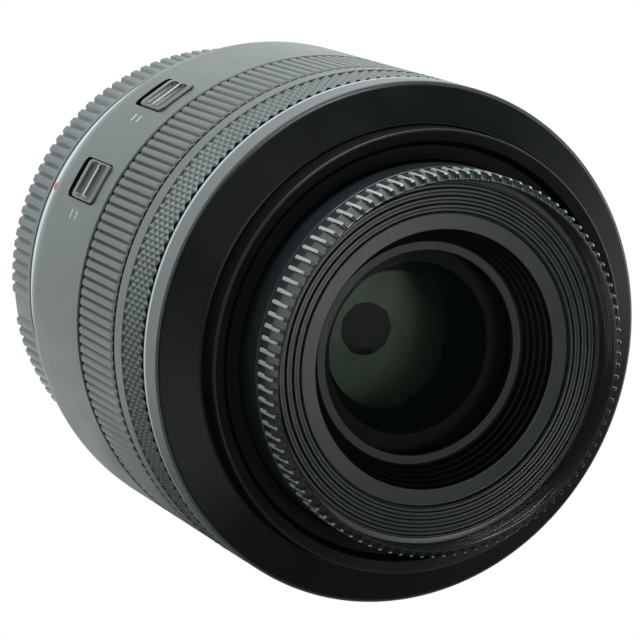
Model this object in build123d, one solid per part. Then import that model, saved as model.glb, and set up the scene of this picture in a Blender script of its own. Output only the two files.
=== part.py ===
from build123d import *
import os
from math import cos, radians, sin, sqrt

# Macro lens for a mirrorless camera, with a dust cap on its mount. Millimetres.
# The origin is the centre of the mount's flange plane. +Z runs along the optical axis to the subject.
# The lens stands on its dust cap. It is built at the focus it has in the photograph, partly extended.

os.makedirs("parts", exist_ok=True)
ON_FLOOR = (Align.CENTER, Align.CENTER, Align.MIN)

# Fits
SEAT = 0.05
RUN = 0.08
LOOSE = 0.2
RING_GAP = 0.3

# Dust cap on the camera mount
CAP_DEPTH = 10.7
CAP_RIM_SET_IN = 0.3
CAP_RIB_SET_IN = 1.0
CAP_RIM_LENGTH = 2.3
CAP_WALL = 2.7
CAP_FLOOR = 1.6
CAP_EDGE = 0.8
CAP_LUG_ARC = 40.0
CAP_LUG_THICKNESS = 1.5

# Camera mount: chromed brass ring with three bayonet lugs
FLANGE_THICKNESS = 1.8
FLANGE_WIDTH = 5.3
BAYONET_WALL = 2.3
BAYONET_DEPTH = 5.6
LUG_STAND_OUT = 2.0
LUG_THICKNESS = 1.3
LUG_ARC = 46.0
LUG_COUNT = 3
LUG_START = 30.0
SCREW_EDGE_DISTANCE = 2.6
SCREW_COUNT = 4
SCREW_START = 75.0
SCREW_HEAD_RADIUS = 1.6
SCREW_HEAD_HEIGHT = 1.0
SCREW_CROSS_WIDTH = 0.35
SCREW_SHANK_RADIUS = 0.8
SCREW_LENGTH = 3.0
SCREW_RECESS = 0.2

# Contacts
CONTACT_COUNT = 12
CONTACT_PITCH = 8.0
CONTACT_FROM_WALL = 2.6
CONTACT_RADIUS = 0.75
CONTACT_LENGTH = 3.5
CONTACT_PROUD = 0.15
CONTACT_BLOCK_BEYOND = 2.5
CONTACT_BLOCK_HEIGHT = 4.7
CONTACT_AZIMUTH = 270.0

# Light baffle inside the mount
BAFFLE_FRONT = 0.4
BAFFLE_THICKNESS = 1.0
BAFFLE_OPENING_X = 30.0
BAFFLE_OPENING_Y = 21.0
BAFFLE_CORNER = 2.0

# Shell
TRIM_SET_IN = 2.3
TRIM_START = 0.4
TRIM_LENGTH = 2.8
BARREL_LENGTH = 23.55
BARREL_FLARE = 6.3
BARREL_WALL = 1.8
SEAT_BEFORE_BOARD = 1.3
BARREL_LIP_LENGTH = 2.5
FOCUS_RING_LENGTH = 13.4
FOCUS_RING_WALL = 1.0
CONTROL_RING_LENGTH = 10.8
CONTROL_RING_WALL = 2.62
FRONT_BAND_LENGTH = 4.95
SILVER_LINE = 0.55
SHELL_WALL = 1.7
FRONT_EDGE_SET_IN = 0.46
FRONT_CHAMFER = 1.2
BEZEL_RISE = 2.9
BEZEL_FLANGE = 0.3
COLLAR_WALL = 2.4
COLLAR_LENGTH = 3.1
COLLAR_ROOM = 2.2
COLLAR_CHAMFER_IN = 1.8
COLLAR_CHAMFER_DOWN = 0.6

# Fixed guide tube
TUBE_WALL = 2.3
TUBE_REAR_SET_IN = 1.1
TUBE_REAR_LIP = 1.2
TUBE_FLOOR = 2.0
TUBE_FLOOR_WIDTH = 7.7
TUBE_STEP_BACK = 2.75
TUBE_SPIGOT = 2.2

# Guide shafts
SHAFT_RADIUS = 1.0
SHAFT_ROOM = 0.7
SHAFT_AZIMUTH = 30.0
SHAFT_GRIP = 1.4
SHAFT_SOCKET = 2.4

# Circuit board behind the focus unit
BOARD_STANDOFF = 0.3
BOARD_THICKNESS = 1.0
BOARD_WIDTH = 8.1
BOARD_ROOM = 0.6
CHIP_SIZE = 5.5
CHIP_HEIGHT = 0.9
CHIP_AZIMUTHS = (90.0, 150.0, 240.0)

# Focus motor, lead screw and nut
MOTOR_AZIMUTH = 300.0
MOTOR_ROOM = 0.3
MOTOR_RADIUS = 3.3
MOTOR_LENGTH = 12.0
MOTOR_BEARING = 4.2
SCREW_BEARING_WALL = 0.42
BRACKET_THICKNESS = 0.9
BRACKET_REACH = 41.0
BRACKET_HALF_WIDTH = 3.3
BRACKET_SPINE = 0.8
BRACKET_CLEAR = 0.3
LEAD_SCREW_RADIUS = 1.0
NUT_WALL_IN = 0.6
NUT_WALL_OUT = 0.9
NUT_LENGTH = 4.0
NUT_HALF_WIDTH = 2.2
NUT_HEIGHT_ABOVE_TAIL = 18.0

# Slide switches
SWITCH_AZIMUTHS = (127.3, 153.3)
SWITCH_NAMES = ("stabiliser_switch", "focus_mode_switch")
WINDOW_FRONT_MARGIN = 3.75
WINDOW_LENGTH = 10.5
WINDOW_WIDTH = 6.6
WINDOW_CORNER = 1.0
SWITCH_TRAVEL = 1.8
KNOB_HEIGHT_OUTSIDE = 0.45
KNOB_CORNER = 0.9
KNOB_VALLEY_WIDTH = 1.9
KNOB_VALLEY_DEPTH = 0.5
KNOB_RIDGE_WIDTH = 0.7
SLIDER_THICKNESS = 0.8
SLIDER_OVERLAP = 1.2
SWITCH_BOARD_THICKNESS = 0.5

# Control ring detent and ring sensor
DETENT_COUNT = 60
DETENT_RADIUS = 0.5
DETENT_DEPTH = 0.25
DETENT_LENGTH = 2.0
DETENT_BACK = 5.8
CLICK_NOSE_RADIUS = 0.8
CLICK_SPRING_THICKNESS = 0.25
CLICK_SPRING_ARC = 26.0
CLICK_SPRING_WIDTH = 2.0
CLICK_AZIMUTH = 90.0
SENSOR_AZIMUTH = 60.0
SENSOR_LENGTH = 4.0
SENSOR_WIDTH = 5.0
SENSOR_DEPTH = 3.0
SENSOR_AHEAD = 4.0

# Focus unit: everything that moves along the axis
EXTENSION = 8.8
FILTER_RING_WALL = 1.2
SKIRT_WALL = 0.6
SKIRT_LENGTH = 18.9
FILTER_RING_LENGTH = 5.1
THREAD_RADIUS = 25.6
THREAD_LENGTH = 3.9
FILTER_SPIGOT_LENGTH = 2.9
PLATE_SET_IN = 0.7
PLATE_SEAT_WIDTH = 1.0
SEAL_LENGTH = 1.5
BEZEL_LIP_ROOM = 1.0

# Grooved front plate with its stepped light trap
PLATE_THICKNESS = 0.9
PLATE_FACE_WIDTH = 4.35
PLATE_SINK = 0.8
GROOVE_COUNT = 4
GROOVE_FROM_EDGE = 0.55
GROOVE_PITCH = 1.1
GROOVE_WIDTH = 0.6
GROOVE_DEPTH = 0.45
TRAP_LEDGE = 2.3
TRAP_LENGTH = 4.8
TRAP_STEPS = 5
TRAP_WALL = 1.0

# Front cell, retaining ring and spacer
RETAINER_OVERLAP = 0.5
RETAINER_OUTSIDE = 0.75
RETAINER_HEIGHT = 0.9
CELL_WALL = 1.4
CELL_FLANGE = 1.2
CELL_LIP = 0.8
CELL_LIP_OVERLAP = 2.9
SPACER_WIDTH = 1.1
SPACER_HEIGHT = 0.6

# Lens frame behind the iris
FRAME_WALL = 1.5
FRAME_TAIL_WALL = 2.15
FRAME_TAIL_LENGTH = 10.0
FRAME_TAPER = 2.0
FRAME_FLANGE = 1.4
BORE_STEP = 1.0
STABILISER_HEIGHT = 7.0
COIL_ROOM = 6.6
IRIS_ROOM = 8.4
STABILISER_SHELF = 0.8
STABILISER_SHELF_OPENING = 10.2
SLEEVE_RADIUS = 1.9
SLEEVE_LENGTH = 12.0
SLEEVE_AT = 12.0
SLEEVE_ARM_WIDTH = 2.4
FORK_LENGTH = 3.0
FORK_WIDTH = 4.4
FORK_BEYOND_SHAFT = 1.4

# Glass: radius, edge thickness, sag of the rear face and of the front face (outward is positive)
GLASS_1 = (15.0, 2.6, -1.5, 0.9)
GLASS_2 = (13.4, 2.8, -0.8, 1.0)
GLASS_3_REAR = (12.6, 1.9, -0.7, 0.8)
GLASS_3_FRONT = (12.6, 2.8, -0.8, 0.4)
GLASS_4_REAR = (11.0, 2.2, 0.5, -0.9)
GLASS_4_FRONT = (11.0, 1.6, 0.9, -0.6)
GLASS_5 = (10.5, 2.6, 0.4, 0.3)
GLASS_6 = (11.5, 2.7, -0.6, 0.5)
GLASS_7 = (13.0, 2.9, 0.6, -0.6)
GLASS_8 = (14.5, 2.4, -0.8, 0.9)
GLASS_9 = (16.0, 3.1, 0.8, -0.4)
GLASS_AIR = 0.3

# Iris
BLADE_COUNT = 9
BLADE_THICKNESS = 0.08
BLADE_STEP = 0.14
BLADE_INNER = 9.6
BLADE_OUTER = 15.0
BLADE_START = -4.0
BLADE_END = 112.0
BLADE_LUG_WIDTH = 2.2
PIVOT_CLEAR = 1.0
PIVOT_RADIUS = 0.5
PIVOT_DEPTH = 0.7
DRIVE_AZIMUTH = -15.0
DRIVE_PIN_RADIUS = 0.4
REST_CLOSING = 21.2
MOST_CLOSING = 32.9
BLADE_PER_RING = 2.0
IRIS_OPENING_LIP = 0.3
IRIS_PLATE = 1.0
IRIS_RING_INSIDE = 1.2
IRIS_RING_OUTSIDE = 3.2
IRIS_RING_THICKNESS = 0.8
IRIS_COVER_THICKNESS = 0.6
IRIS_COVER_OPENING = 11.8
IRIS_COVER_RIM = 0.5
IRIS_BOSS_WALL = 1.2
IRIS_BOSS_LENGTH = 5.6
IRIS_AIR = 0.15
IRIS_MOTOR_RADIUS = 2.4
IRIS_MOTOR_LENGTH = 3.9
IRIS_MOTOR_ROOM = 1.1
IRIS_MOTOR_AZIMUTH = 200.0

# Stabiliser
PLATE_TRAVEL = 0.8
GUIDE_PLATE_WIDTH = 5.4
GUIDE_PLATE_THICKNESS = 0.8
GUIDE_PLATE_LIFT = 0.3
CARRIER_WING_SET_IN = 0.8
CARRIER_WING_THICKNESS = 1.0
CARRIER_HUB_WALL = 1.9
CARRIER_HEIGHT = 3.4
MAGNET_RADIAL = 3.0
MAGNET_TANGENT = 7.0
MAGNET_HEIGHT = 1.6
COIL_RADIAL = 4.2
COIL_TANGENT = 8.0
COIL_HEIGHT = 0.7
COIL_WIRE = 1.2
COIL_BOARD_THICKNESS = 0.6
COIL_BOARD_ROOM = 0.35
DRIVE_AZIMUTHS = (0.0, 90.0)

# Radii that follow from the sizes above
skirt_radius = THREAD_RADIUS + FILTER_RING_WALL
skirt_bore = skirt_radius - SKIRT_WALL
motor_circle = skirt_radius + BRACKET_CLEAR + SCREW_BEARING_WALL + RUN + LEAD_SCREW_RADIUS
tube_bore = motor_circle + MOTOR_RADIUS + MOTOR_ROOM
tube_radius = tube_bore + TUBE_WALL
shell_radius = tube_radius + RUN + CONTROL_RING_WALL
barrel_bore = shell_radius - BARREL_WALL
tube_rear_radius = tube_radius - TUBE_REAR_SET_IN
flange_radius = tube_rear_radius - TUBE_REAR_LIP
bayonet_radius = flange_radius - FLANGE_WIDTH
bayonet_bore = bayonet_radius - BAYONET_WALL
contact_circle = bayonet_bore - CONTACT_FROM_WALL
tube_floor_bore = tube_bore - TUBE_FLOOR_WIDTH
trim_radius = shell_radius - TRIM_SET_IN
cap_rim_radius = trim_radius - CAP_RIM_SET_IN
cap_rib_radius = trim_radius - CAP_RIB_SET_IN
screw_circle = flange_radius - SCREW_EDGE_DISTANCE
front_edge_radius = shell_radius - FRONT_EDGE_SET_IN
collar_bore = skirt_radius + COLLAR_ROOM
collar_radius = collar_bore + COLLAR_WALL
bezel_lip_bore = skirt_radius + BEZEL_LIP_ROOM
shaft_circle = tube_bore - SHAFT_ROOM - SLEEVE_RADIUS
board_outer = tube_bore - BOARD_ROOM
board_inner = board_outer - BOARD_WIDTH
plate_radius = THREAD_RADIUS - PLATE_SET_IN - SEAT
plate_shoulder_bore = plate_radius - PLATE_SEAT_WIDTH
plate_face_inner = plate_radius - PLATE_FACE_WIDTH
retainer_inner = GLASS_1[0] - RETAINER_OVERLAP
retainer_outer = GLASS_1[0] + RETAINER_OUTSIDE
cell_outer = retainer_outer + SEAT + CELL_WALL
trap_throat_radius = retainer_outer + SEAT
trap_mouth_radius = plate_face_inner - TRAP_LEDGE
cell_lip_bore = GLASS_3_REAR[0] - CELL_LIP_OVERLAP
spacer_bore = GLASS_2[0] - SPACER_WIDTH
pivot_circle = BLADE_OUTER + PIVOT_CLEAR
iris_opening = BLADE_INNER - IRIS_OPENING_LIP
iris_ring_inner = pivot_circle - IRIS_RING_INSIDE
iris_ring_outer = pivot_circle + IRIS_RING_OUTSIDE
iris_bore = iris_ring_outer + LOOSE + IRIS_COVER_RIM + SEAT + SEAT
coil_bore = iris_bore - BORE_STEP
stabiliser_bore = coil_bore - BORE_STEP
guide_plate_outer = stabiliser_bore - PLATE_TRAVEL - LOOSE
guide_plate_inner = guide_plate_outer - GUIDE_PLATE_WIDTH
carrier_wing_outer = guide_plate_outer - CARRIER_WING_SET_IN
carrier_bore = GLASS_5[0] + SEAT
magnet_inner = carrier_bore + CARRIER_HUB_WALL + 2 * LOOSE
magnet_circle = magnet_inner + MAGNET_RADIAL / 2
frame_outer = iris_bore + FRAME_WALL
frame_tail_outer = GLASS_9[0] + SEAT + FRAME_TAIL_WALL
iris_boss_outer = GLASS_4_REAR[0] + SEAT + IRIS_BOSS_WALL
coil_board_inner = iris_boss_outer + COIL_BOARD_ROOM
iris_motor_circle = iris_bore - IRIS_MOTOR_ROOM - IRIS_MOTOR_RADIUS


def face_height(size, radius, face):
    """How far a glass face stands above its edge, at a radius: face 2 is the rear one and 3 the front."""
    edge, sag = size[0], size[face]
    curve = (edge ** 2 + sag ** 2) / (2 * abs(sag))
    height = sqrt(curve ** 2 - radius ** 2) - sqrt(curve ** 2 - edge ** 2)
    return height if sag > 0 else -height


def air_gap(lower, upper):
    """Distance between the edges of two glasses whose faces then clear each other."""
    return GLASS_AIR + max(0.0, lower[3] + upper[2])


# Places along the axis that follow from the sizes above
tube_start = FLANGE_THICKNESS
trim_end = TRIM_START + TRIM_LENGTH
barrel_end = trim_end + BARREL_LENGTH
focus_start = barrel_end + RING_GAP
focus_end = focus_start + FOCUS_RING_LENGTH
control_start = focus_end + RING_GAP
control_end = control_start + CONTROL_RING_LENGTH
band_start = control_end + RING_GAP
band_end = band_start + FRONT_BAND_LENGTH
collar_base = band_end + BEZEL_RISE
collar_end = collar_base + COLLAR_LENGTH
tube_step = barrel_end - TUBE_STEP_BACK
tube_end = band_start + TUBE_SPIGOT
tube_floor_top = tube_start + TUBE_FLOOR
window_end = barrel_end - WINDOW_FRONT_MARGIN
window_start = window_end - WINDOW_LENGTH
barrel_seat_end = window_start - SLIDER_OVERLAP - SEAT_BEFORE_BOARD
shaft_end = tube_end + SHAFT_SOCKET

unit_front = collar_end + EXTENSION
filter_start = unit_front - FILTER_RING_LENGTH
plate_face = unit_front - THREAD_LENGTH
plate_back = plate_face - PLATE_THICKNESS
trap_front = plate_face - PLATE_SINK
trap_end = trap_front - TRAP_LENGTH
cell_front = trap_end
skirt_start = filter_start - SKIRT_LENGTH
glass_1_top = cell_front - RETAINER_HEIGHT
glass_1_base = glass_1_top - GLASS_1[1] - SEAT - face_height(GLASS_1, retainer_inner, 3)
spacer_base = glass_1_base - SPACER_HEIGHT
glass_2_base = spacer_base - GLASS_2[1] - SEAT - face_height(GLASS_2, spacer_bore, 3)
glass_3_top = glass_2_base - air_gap(GLASS_3_FRONT, GLASS_2)
glass_3_split = glass_3_top - GLASS_3_FRONT[1]
glass_3_base = glass_3_split - GLASS_3_REAR[1]
cell_base = glass_3_base - CELL_LIP
iris_plate_base = cell_base - IRIS_ROOM
coil_shelf = iris_plate_base - COIL_ROOM
stabiliser_shelf_top = coil_shelf - STABILISER_HEIGHT
stabiliser_shelf_base = stabiliser_shelf_top - STABILISER_SHELF
glass_6_base = stabiliser_shelf_base - SEAT - GLASS_6[1] - face_height(GLASS_6, STABILISER_SHELF_OPENING, 3)
glass_7_base = glass_6_base - air_gap(GLASS_7, GLASS_6) - GLASS_7[1]
glass_8_base = glass_7_base - air_gap(GLASS_8, GLASS_7) - GLASS_8[1]
glass_9_base = glass_8_base - air_gap(GLASS_9, GLASS_8) - GLASS_9[1]
frame_base = glass_9_base - GLASS_AIR
iris_floor = iris_plate_base + IRIS_PLATE
blade_base = iris_floor + IRIS_AIR
blade_stack = (BLADE_COUNT - 1) * BLADE_STEP + BLADE_THICKNESS
iris_ring_base = blade_base + blade_stack + IRIS_AIR
iris_cover_base = iris_ring_base + IRIS_RING_THICKNESS + LOOSE
iris_cover_top = iris_cover_base + IRIS_COVER_THICKNESS
guide_plate_base = stabiliser_shelf_top + GUIDE_PLATE_LIFT
carrier_base = guide_plate_base + GUIDE_PLATE_THICKNESS + LOOSE
nut_base = frame_base + NUT_HEIGHT_ABOVE_TAIL
nut_inner = motor_circle - LEAD_SCREW_RADIUS - RUN - NUT_WALL_IN
nut_outer = motor_circle + LEAD_SCREW_RADIUS + RUN + NUT_WALL_OUT
board_base = tube_floor_top + BOARD_STANDOFF
board_top = board_base + BOARD_THICKNESS
bracket_base = board_top + BRACKET_CLEAR
motor_base = bracket_base + BRACKET_THICKNESS
motor_top = motor_base + MOTOR_LENGTH
bracket_top = bracket_base + BRACKET_REACH


def turned(*points, arc=360.0, start=0.0):
    """Solid turned about the axis from a closed outline of (radius, z) points."""
    face = make_face(Polyline(*[(r, 0, z) for r, z in points], close=True))
    return Rot(0, 0, start) * revolve(face, Axis.Z, arc)


def tube(outer, inner, low, high, arc=360.0, middle=0.0):
    return turned((inner, low), (outer, low), (outer, high), (inner, high), arc=arc, start=middle - arc / 2)


def rod(radius, low, high, circle=0.0, azimuth=0.0):
    """Round bar parallel to the axis, at a place on a circle round it."""
    return Rot(0, 0, azimuth) * Pos(circle, 0, low) * Cylinder(radius, high - low, align=ON_FLOOR)


def block(azimuth, inner, outer, width, low, high, shift=0.0):
    """Box that points outwards from the axis: from radius inner to outer, width across."""
    size = Box(outer - inner, width, high - low, align=(Align.MIN, Align.CENTER, Align.MIN))
    return Rot(0, 0, azimuth) * Pos(inner, shift, low) * size


def around(count, start=0.0):
    return [start + 360.0 * i / count for i in range(count)]


def shaft_azimuths():
    return (SHAFT_AZIMUTH, SHAFT_AZIMUTH + 180.0)


def lens_face(radius, edge, sag):
    """Half of a spherical face, from its edge to the axis, as an arc in the XZ plane."""
    if abs(sag) < 0.01:
        return Line((radius, 0, edge), (0, 0, edge))
    curve = (radius ** 2 + sag ** 2) / (2 * abs(sag))
    side = 1 if sag > 0 else -1
    half_way = sqrt(curve ** 2 - radius ** 2 / 4) - (curve - abs(sag))
    middle = (radius / 2, 0, edge + side * half_way)
    return ThreePointArc((radius, 0, edge), middle, (0, 0, edge + sag))


def glass(size, base):
    """One glass element. A rear sag is positive where the face bulges to the rear."""
    radius, thickness, rear_sag, front_sag = size
    top = base + thickness
    rear = lens_face(radius, base, -rear_sag)
    front = lens_face(radius, top, front_sag)
    rim = Line((radius, 0, base), (radius, 0, top))
    centre = Line((0, 0, base - rear_sag), (0, 0, top + front_sag))
    return revolve(make_face([rear, rim, front, centre]), Axis.Z, 360)


# Dust cap, mount and contacts

def rear_cap():
    bore = cap_rib_radius - CAP_WALL
    top = -RING_GAP
    rim = top - CAP_RIM_LENGTH
    shell = turned((0, -CAP_DEPTH), (cap_rib_radius - CAP_EDGE, -CAP_DEPTH),
                   (cap_rib_radius, -CAP_DEPTH + CAP_EDGE), (cap_rib_radius, rim),
                   (cap_rim_radius, rim + (cap_rim_radius - cap_rib_radius)), (cap_rim_radius, top),
                   (bore, top), (bore, CAP_FLOOR - CAP_DEPTH), (0, CAP_FLOOR - CAP_DEPTH))
    lug_top = LUG_THICKNESS - BAYONET_DEPTH + LOOSE + CAP_LUG_THICKNESS
    for azimuth in around(LUG_COUNT, LUG_START + 180.0 / LUG_COUNT):
        shell += tube(bore + SEAT, bayonet_radius + LOOSE, lug_top - CAP_LUG_THICKNESS, lug_top,
                      CAP_LUG_ARC, azimuth)
    return shell


def mount_ring():
    bore = bayonet_bore
    ring = turned((bore, -BAYONET_DEPTH), (bayonet_radius, -BAYONET_DEPTH), (bayonet_radius, 0),
                  (flange_radius, 0), (flange_radius, FLANGE_THICKNESS), (bore, FLANGE_THICKNESS))
    for azimuth in around(LUG_COUNT, LUG_START):
        ring += tube(bayonet_radius + LUG_STAND_OUT, bayonet_radius - SEAT, -BAYONET_DEPTH,
                     LUG_THICKNESS - BAYONET_DEPTH, LUG_ARC, azimuth)
    for azimuth in around(SCREW_COUNT, SCREW_START):
        ring -= rod(SCREW_HEAD_RADIUS + LOOSE, 0, SCREW_RECESS + SCREW_HEAD_HEIGHT, screw_circle, azimuth)
        ring -= rod(SCREW_SHANK_RADIUS + SEAT, 0, FLANGE_THICKNESS, screw_circle, azimuth)
    return ring


def mount_screws():
    """Countersunk cross-head screws, driven from the rear through the mount into the guide tube."""
    screws = []
    for azimuth in around(SCREW_COUNT, SCREW_START):
        head_end = SCREW_RECESS + SCREW_HEAD_HEIGHT
        screw = rod(SCREW_HEAD_RADIUS, SCREW_RECESS, head_end, screw_circle, azimuth)
        screw += rod(SCREW_SHANK_RADIUS, SCREW_RECESS, SCREW_RECESS + SCREW_LENGTH, screw_circle, azimuth)
        for turn in (0, 90):
            cross = Rot(0, 0, turn) * Box(SCREW_HEAD_RADIUS, SCREW_CROSS_WIDTH, SCREW_HEAD_HEIGHT)
            screw -= Rot(0, 0, azimuth) * Pos(screw_circle, 0, SCREW_RECESS) * cross
        screws.append(screw)
    return screws


def contact_azimuths():
    first = CONTACT_AZIMUTH - CONTACT_PITCH * (CONTACT_COUNT - 1) / 2
    return [first + CONTACT_PITCH * i for i in range(CONTACT_COUNT)]


def contact_block():
    outer = bayonet_bore - SEAT
    low = CONTACT_PROUD - BAYONET_DEPTH
    body = tube(outer, contact_circle - CONTACT_BLOCK_BEYOND, low, low + CONTACT_BLOCK_HEIGHT,
                CONTACT_PITCH * (CONTACT_COUNT + 1), CONTACT_AZIMUTH)
    for azimuth in contact_azimuths():
        body -= rod(CONTACT_RADIUS + SEAT / 2, low, low + CONTACT_LENGTH, contact_circle, azimuth)
    return body


def contact_pins():
    low = -BAYONET_DEPTH
    high = low + CONTACT_PROUD + CONTACT_LENGTH
    return [rod(CONTACT_RADIUS, low, high, contact_circle, azimuth) for azimuth in contact_azimuths()]


def rear_baffle():
    radius = bayonet_bore - SEAT
    low = BAFFLE_FRONT - BAFFLE_THICKNESS
    opening = extrude(RectangleRounded(BAFFLE_OPENING_X, BAFFLE_OPENING_Y, BAFFLE_CORNER), BAFFLE_THICKNESS)
    return rod(radius, low, BAFFLE_FRONT) - Pos(0, 0, low) * opening


# Fixed shell

def rear_trim_ring():
    return tube(trim_radius, flange_radius + SEAT, TRIM_START, trim_end)


def window_cut(azimuth):
    """Rounded opening for a switch knob, cut square to the barrel's wall."""
    tool = extrude(RectangleRounded(WINDOW_LENGTH, WINDOW_WIDTH, WINDOW_CORNER), 3 * BARREL_WALL)
    middle = (window_start + window_end) / 2
    return Rot(0, 0, azimuth) * Pos(barrel_bore - BARREL_WALL, 0, middle) * Rot(0, 90, 0) * tool


def rear_barrel():
    """Outer shell: flared at the silver ring, then straight, with two switch windows."""
    flare_in = shell_radius - trim_radius
    curve = (flare_in ** 2 + BARREL_FLARE ** 2) / (2 * flare_in)
    centre = (shell_radius - curve, trim_end + BARREL_FLARE)
    chord = sqrt((trim_radius + shell_radius - 2 * centre[0]) ** 2 + BARREL_FLARE ** 2)
    middle = (centre[0] + curve * (trim_radius + shell_radius - 2 * centre[0]) / chord,
              centre[1] - curve * BARREL_FLARE / chord)
    seat_bore = tube_rear_radius + SEAT
    lip_bore = tube_radius + SEAT
    flare = ThreePointArc((trim_radius, 0, trim_end), (middle[0], 0, middle[1]),
                          (shell_radius, 0, trim_end + BARREL_FLARE))
    rest = Polyline((shell_radius, 0, trim_end + BARREL_FLARE), (shell_radius, 0, barrel_end),
                    (lip_bore, 0, barrel_end), (lip_bore, 0, barrel_end - BARREL_LIP_LENGTH),
                    (barrel_bore, 0, barrel_end - BARREL_LIP_LENGTH),
                    (barrel_bore, 0, barrel_seat_end), (seat_bore, 0, barrel_seat_end), (seat_bore, 0, trim_end),
                    (trim_radius, 0, trim_end))
    shell = revolve(make_face([flare, rest]), Axis.Z, 360)
    for azimuth in SWITCH_AZIMUTHS:
        shell -= window_cut(azimuth)
    return shell


def front_trim_ring():
    return tube(shell_radius, shell_radius - SHELL_WALL, band_start, band_start + SILVER_LINE)


def front_shell():
    low = band_start + SILVER_LINE
    high = band_end - BEZEL_FLANGE
    return turned((shell_radius - SHELL_WALL, low), (shell_radius, low),
                  (shell_radius, band_end - FRONT_CHAMFER), (front_edge_radius, high),
                  (shell_radius - SHELL_WALL, high))


def front_bezel():
    """Black moulding: sloped face, collar round the moving barrel, and the lip that holds the shafts."""
    skirt_outer = shell_radius - SHELL_WALL - SEAT
    skirt_inner = tube_radius + SEAT
    inner = turned((skirt_inner, band_start), (skirt_outer, band_start), (skirt_outer, band_end - BEZEL_FLANGE),
                   (front_edge_radius, band_end - BEZEL_FLANGE), (front_edge_radius, band_end),
                   (collar_radius, collar_base), (collar_radius, collar_end),
                   (collar_radius - COLLAR_CHAMFER_IN, collar_end - COLLAR_CHAMFER_DOWN),
                   (collar_bore, collar_end - 2 * COLLAR_CHAMFER_DOWN), (collar_bore, collar_base),
                   (bezel_lip_bore, collar_base), (bezel_lip_bore, tube_end), (skirt_inner, tube_end))
    for azimuth in shaft_azimuths():
        inner -= rod(SHAFT_RADIUS + SEAT, tube_end, shaft_end, shaft_circle, azimuth)
    return inner


def barrel_seal():
    """Felt ring in the collar that wipes the moving barrel."""
    return tube(collar_bore - SEAT, skirt_radius + LOOSE, collar_base, collar_base + SEAL_LENGTH)


# Fixed inner structure

def guide_tube():
    body = turned((tube_floor_bore, tube_start), (flange_radius, tube_start), (flange_radius, trim_end),
                  (tube_rear_radius, trim_end), (tube_rear_radius, tube_step), (tube_radius, tube_step),
                  (tube_radius, tube_end), (tube_bore, tube_end), (tube_bore, tube_floor_top),
                  (tube_floor_bore, tube_floor_top))
    for azimuth in shaft_azimuths():
        body -= rod(SHAFT_RADIUS + SEAT, tube_floor_top - SHAFT_GRIP, tube_floor_top, shaft_circle, azimuth)
    for azimuth in around(SCREW_COUNT, SCREW_START):
        depth = SCREW_RECESS + SCREW_LENGTH + LOOSE
        body -= rod(SCREW_SHANK_RADIUS + SEAT / 2, tube_start, depth, screw_circle, azimuth)
    nose_hole = Rot(0, 90, 0) * Cylinder(CLICK_NOSE_RADIUS + SEAT, 2 * TUBE_WALL, align=ON_FLOOR)
    body -= Rot(0, 0, CLICK_AZIMUTH) * Pos(tube_bore - TUBE_WALL / 2, 0, detent_z()) * nose_hole
    low = focus_start + SENSOR_AHEAD
    body -= block(SENSOR_AZIMUTH, tube_bore - TUBE_WALL, tube_radius + TUBE_WALL, SENSOR_WIDTH + 2 * SEAT,
                  low - SEAT, low + SENSOR_LENGTH + SEAT)
    return body


def guide_shafts():
    low = tube_floor_top - SHAFT_GRIP
    return [rod(SHAFT_RADIUS, low, shaft_end, shaft_circle, azimuth) for azimuth in shaft_azimuths()]


def main_board():
    board = tube(board_outer, board_inner, board_base, board_top)
    for azimuth in shaft_azimuths():
        board -= rod(SHAFT_RADIUS + LOOSE, board_base, board_top, shaft_circle, azimuth)
    middle = (board_inner + board_outer) / 2
    for azimuth in CHIP_AZIMUTHS:
        board += block(azimuth, middle - CHIP_SIZE / 2, middle + CHIP_SIZE / 2, CHIP_SIZE, board_top - SEAT,
                       board_top + CHIP_HEIGHT)
    return board


def detent_z():
    return control_end - DETENT_BACK


def click_spring():
    """Leaf spring inside the guide tube whose round nose clicks in the control ring's notches."""
    z = detent_z()
    leaf_outer = tube_bore - SEAT
    leaf = tube(leaf_outer, leaf_outer - CLICK_SPRING_THICKNESS, z - CLICK_SPRING_WIDTH / 2,
                z + CLICK_SPRING_WIDTH / 2, CLICK_SPRING_ARC, CLICK_AZIMUTH)
    reach = tube_radius - CLICK_NOSE_RADIUS
    stem = Cylinder(CLICK_NOSE_RADIUS, reach - leaf_outer + CLICK_SPRING_THICKNESS, align=ON_FLOOR)
    stem = Pos(leaf_outer - CLICK_SPRING_THICKNESS, 0, z) * Rot(0, 90, 0) * stem
    nose = Pos(reach, 0, z) * Sphere(CLICK_NOSE_RADIUS)
    return leaf + Rot(0, 0, CLICK_AZIMUTH) * (stem + nose)


def ring_sensor():
    low = focus_start + SENSOR_AHEAD
    return block(SENSOR_AZIMUTH, tube_radius - SENSOR_DEPTH, tube_radius - LOOSE - SEAT, SENSOR_WIDTH,
                 low, low + SENSOR_LENGTH)


def focus_motor():
    can = rod(MOTOR_RADIUS, motor_base, motor_top, motor_circle, MOTOR_AZIMUTH)
    return can - rod(LEAD_SCREW_RADIUS + RUN, motor_top - MOTOR_BEARING, motor_top, motor_circle, MOTOR_AZIMUTH)


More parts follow.
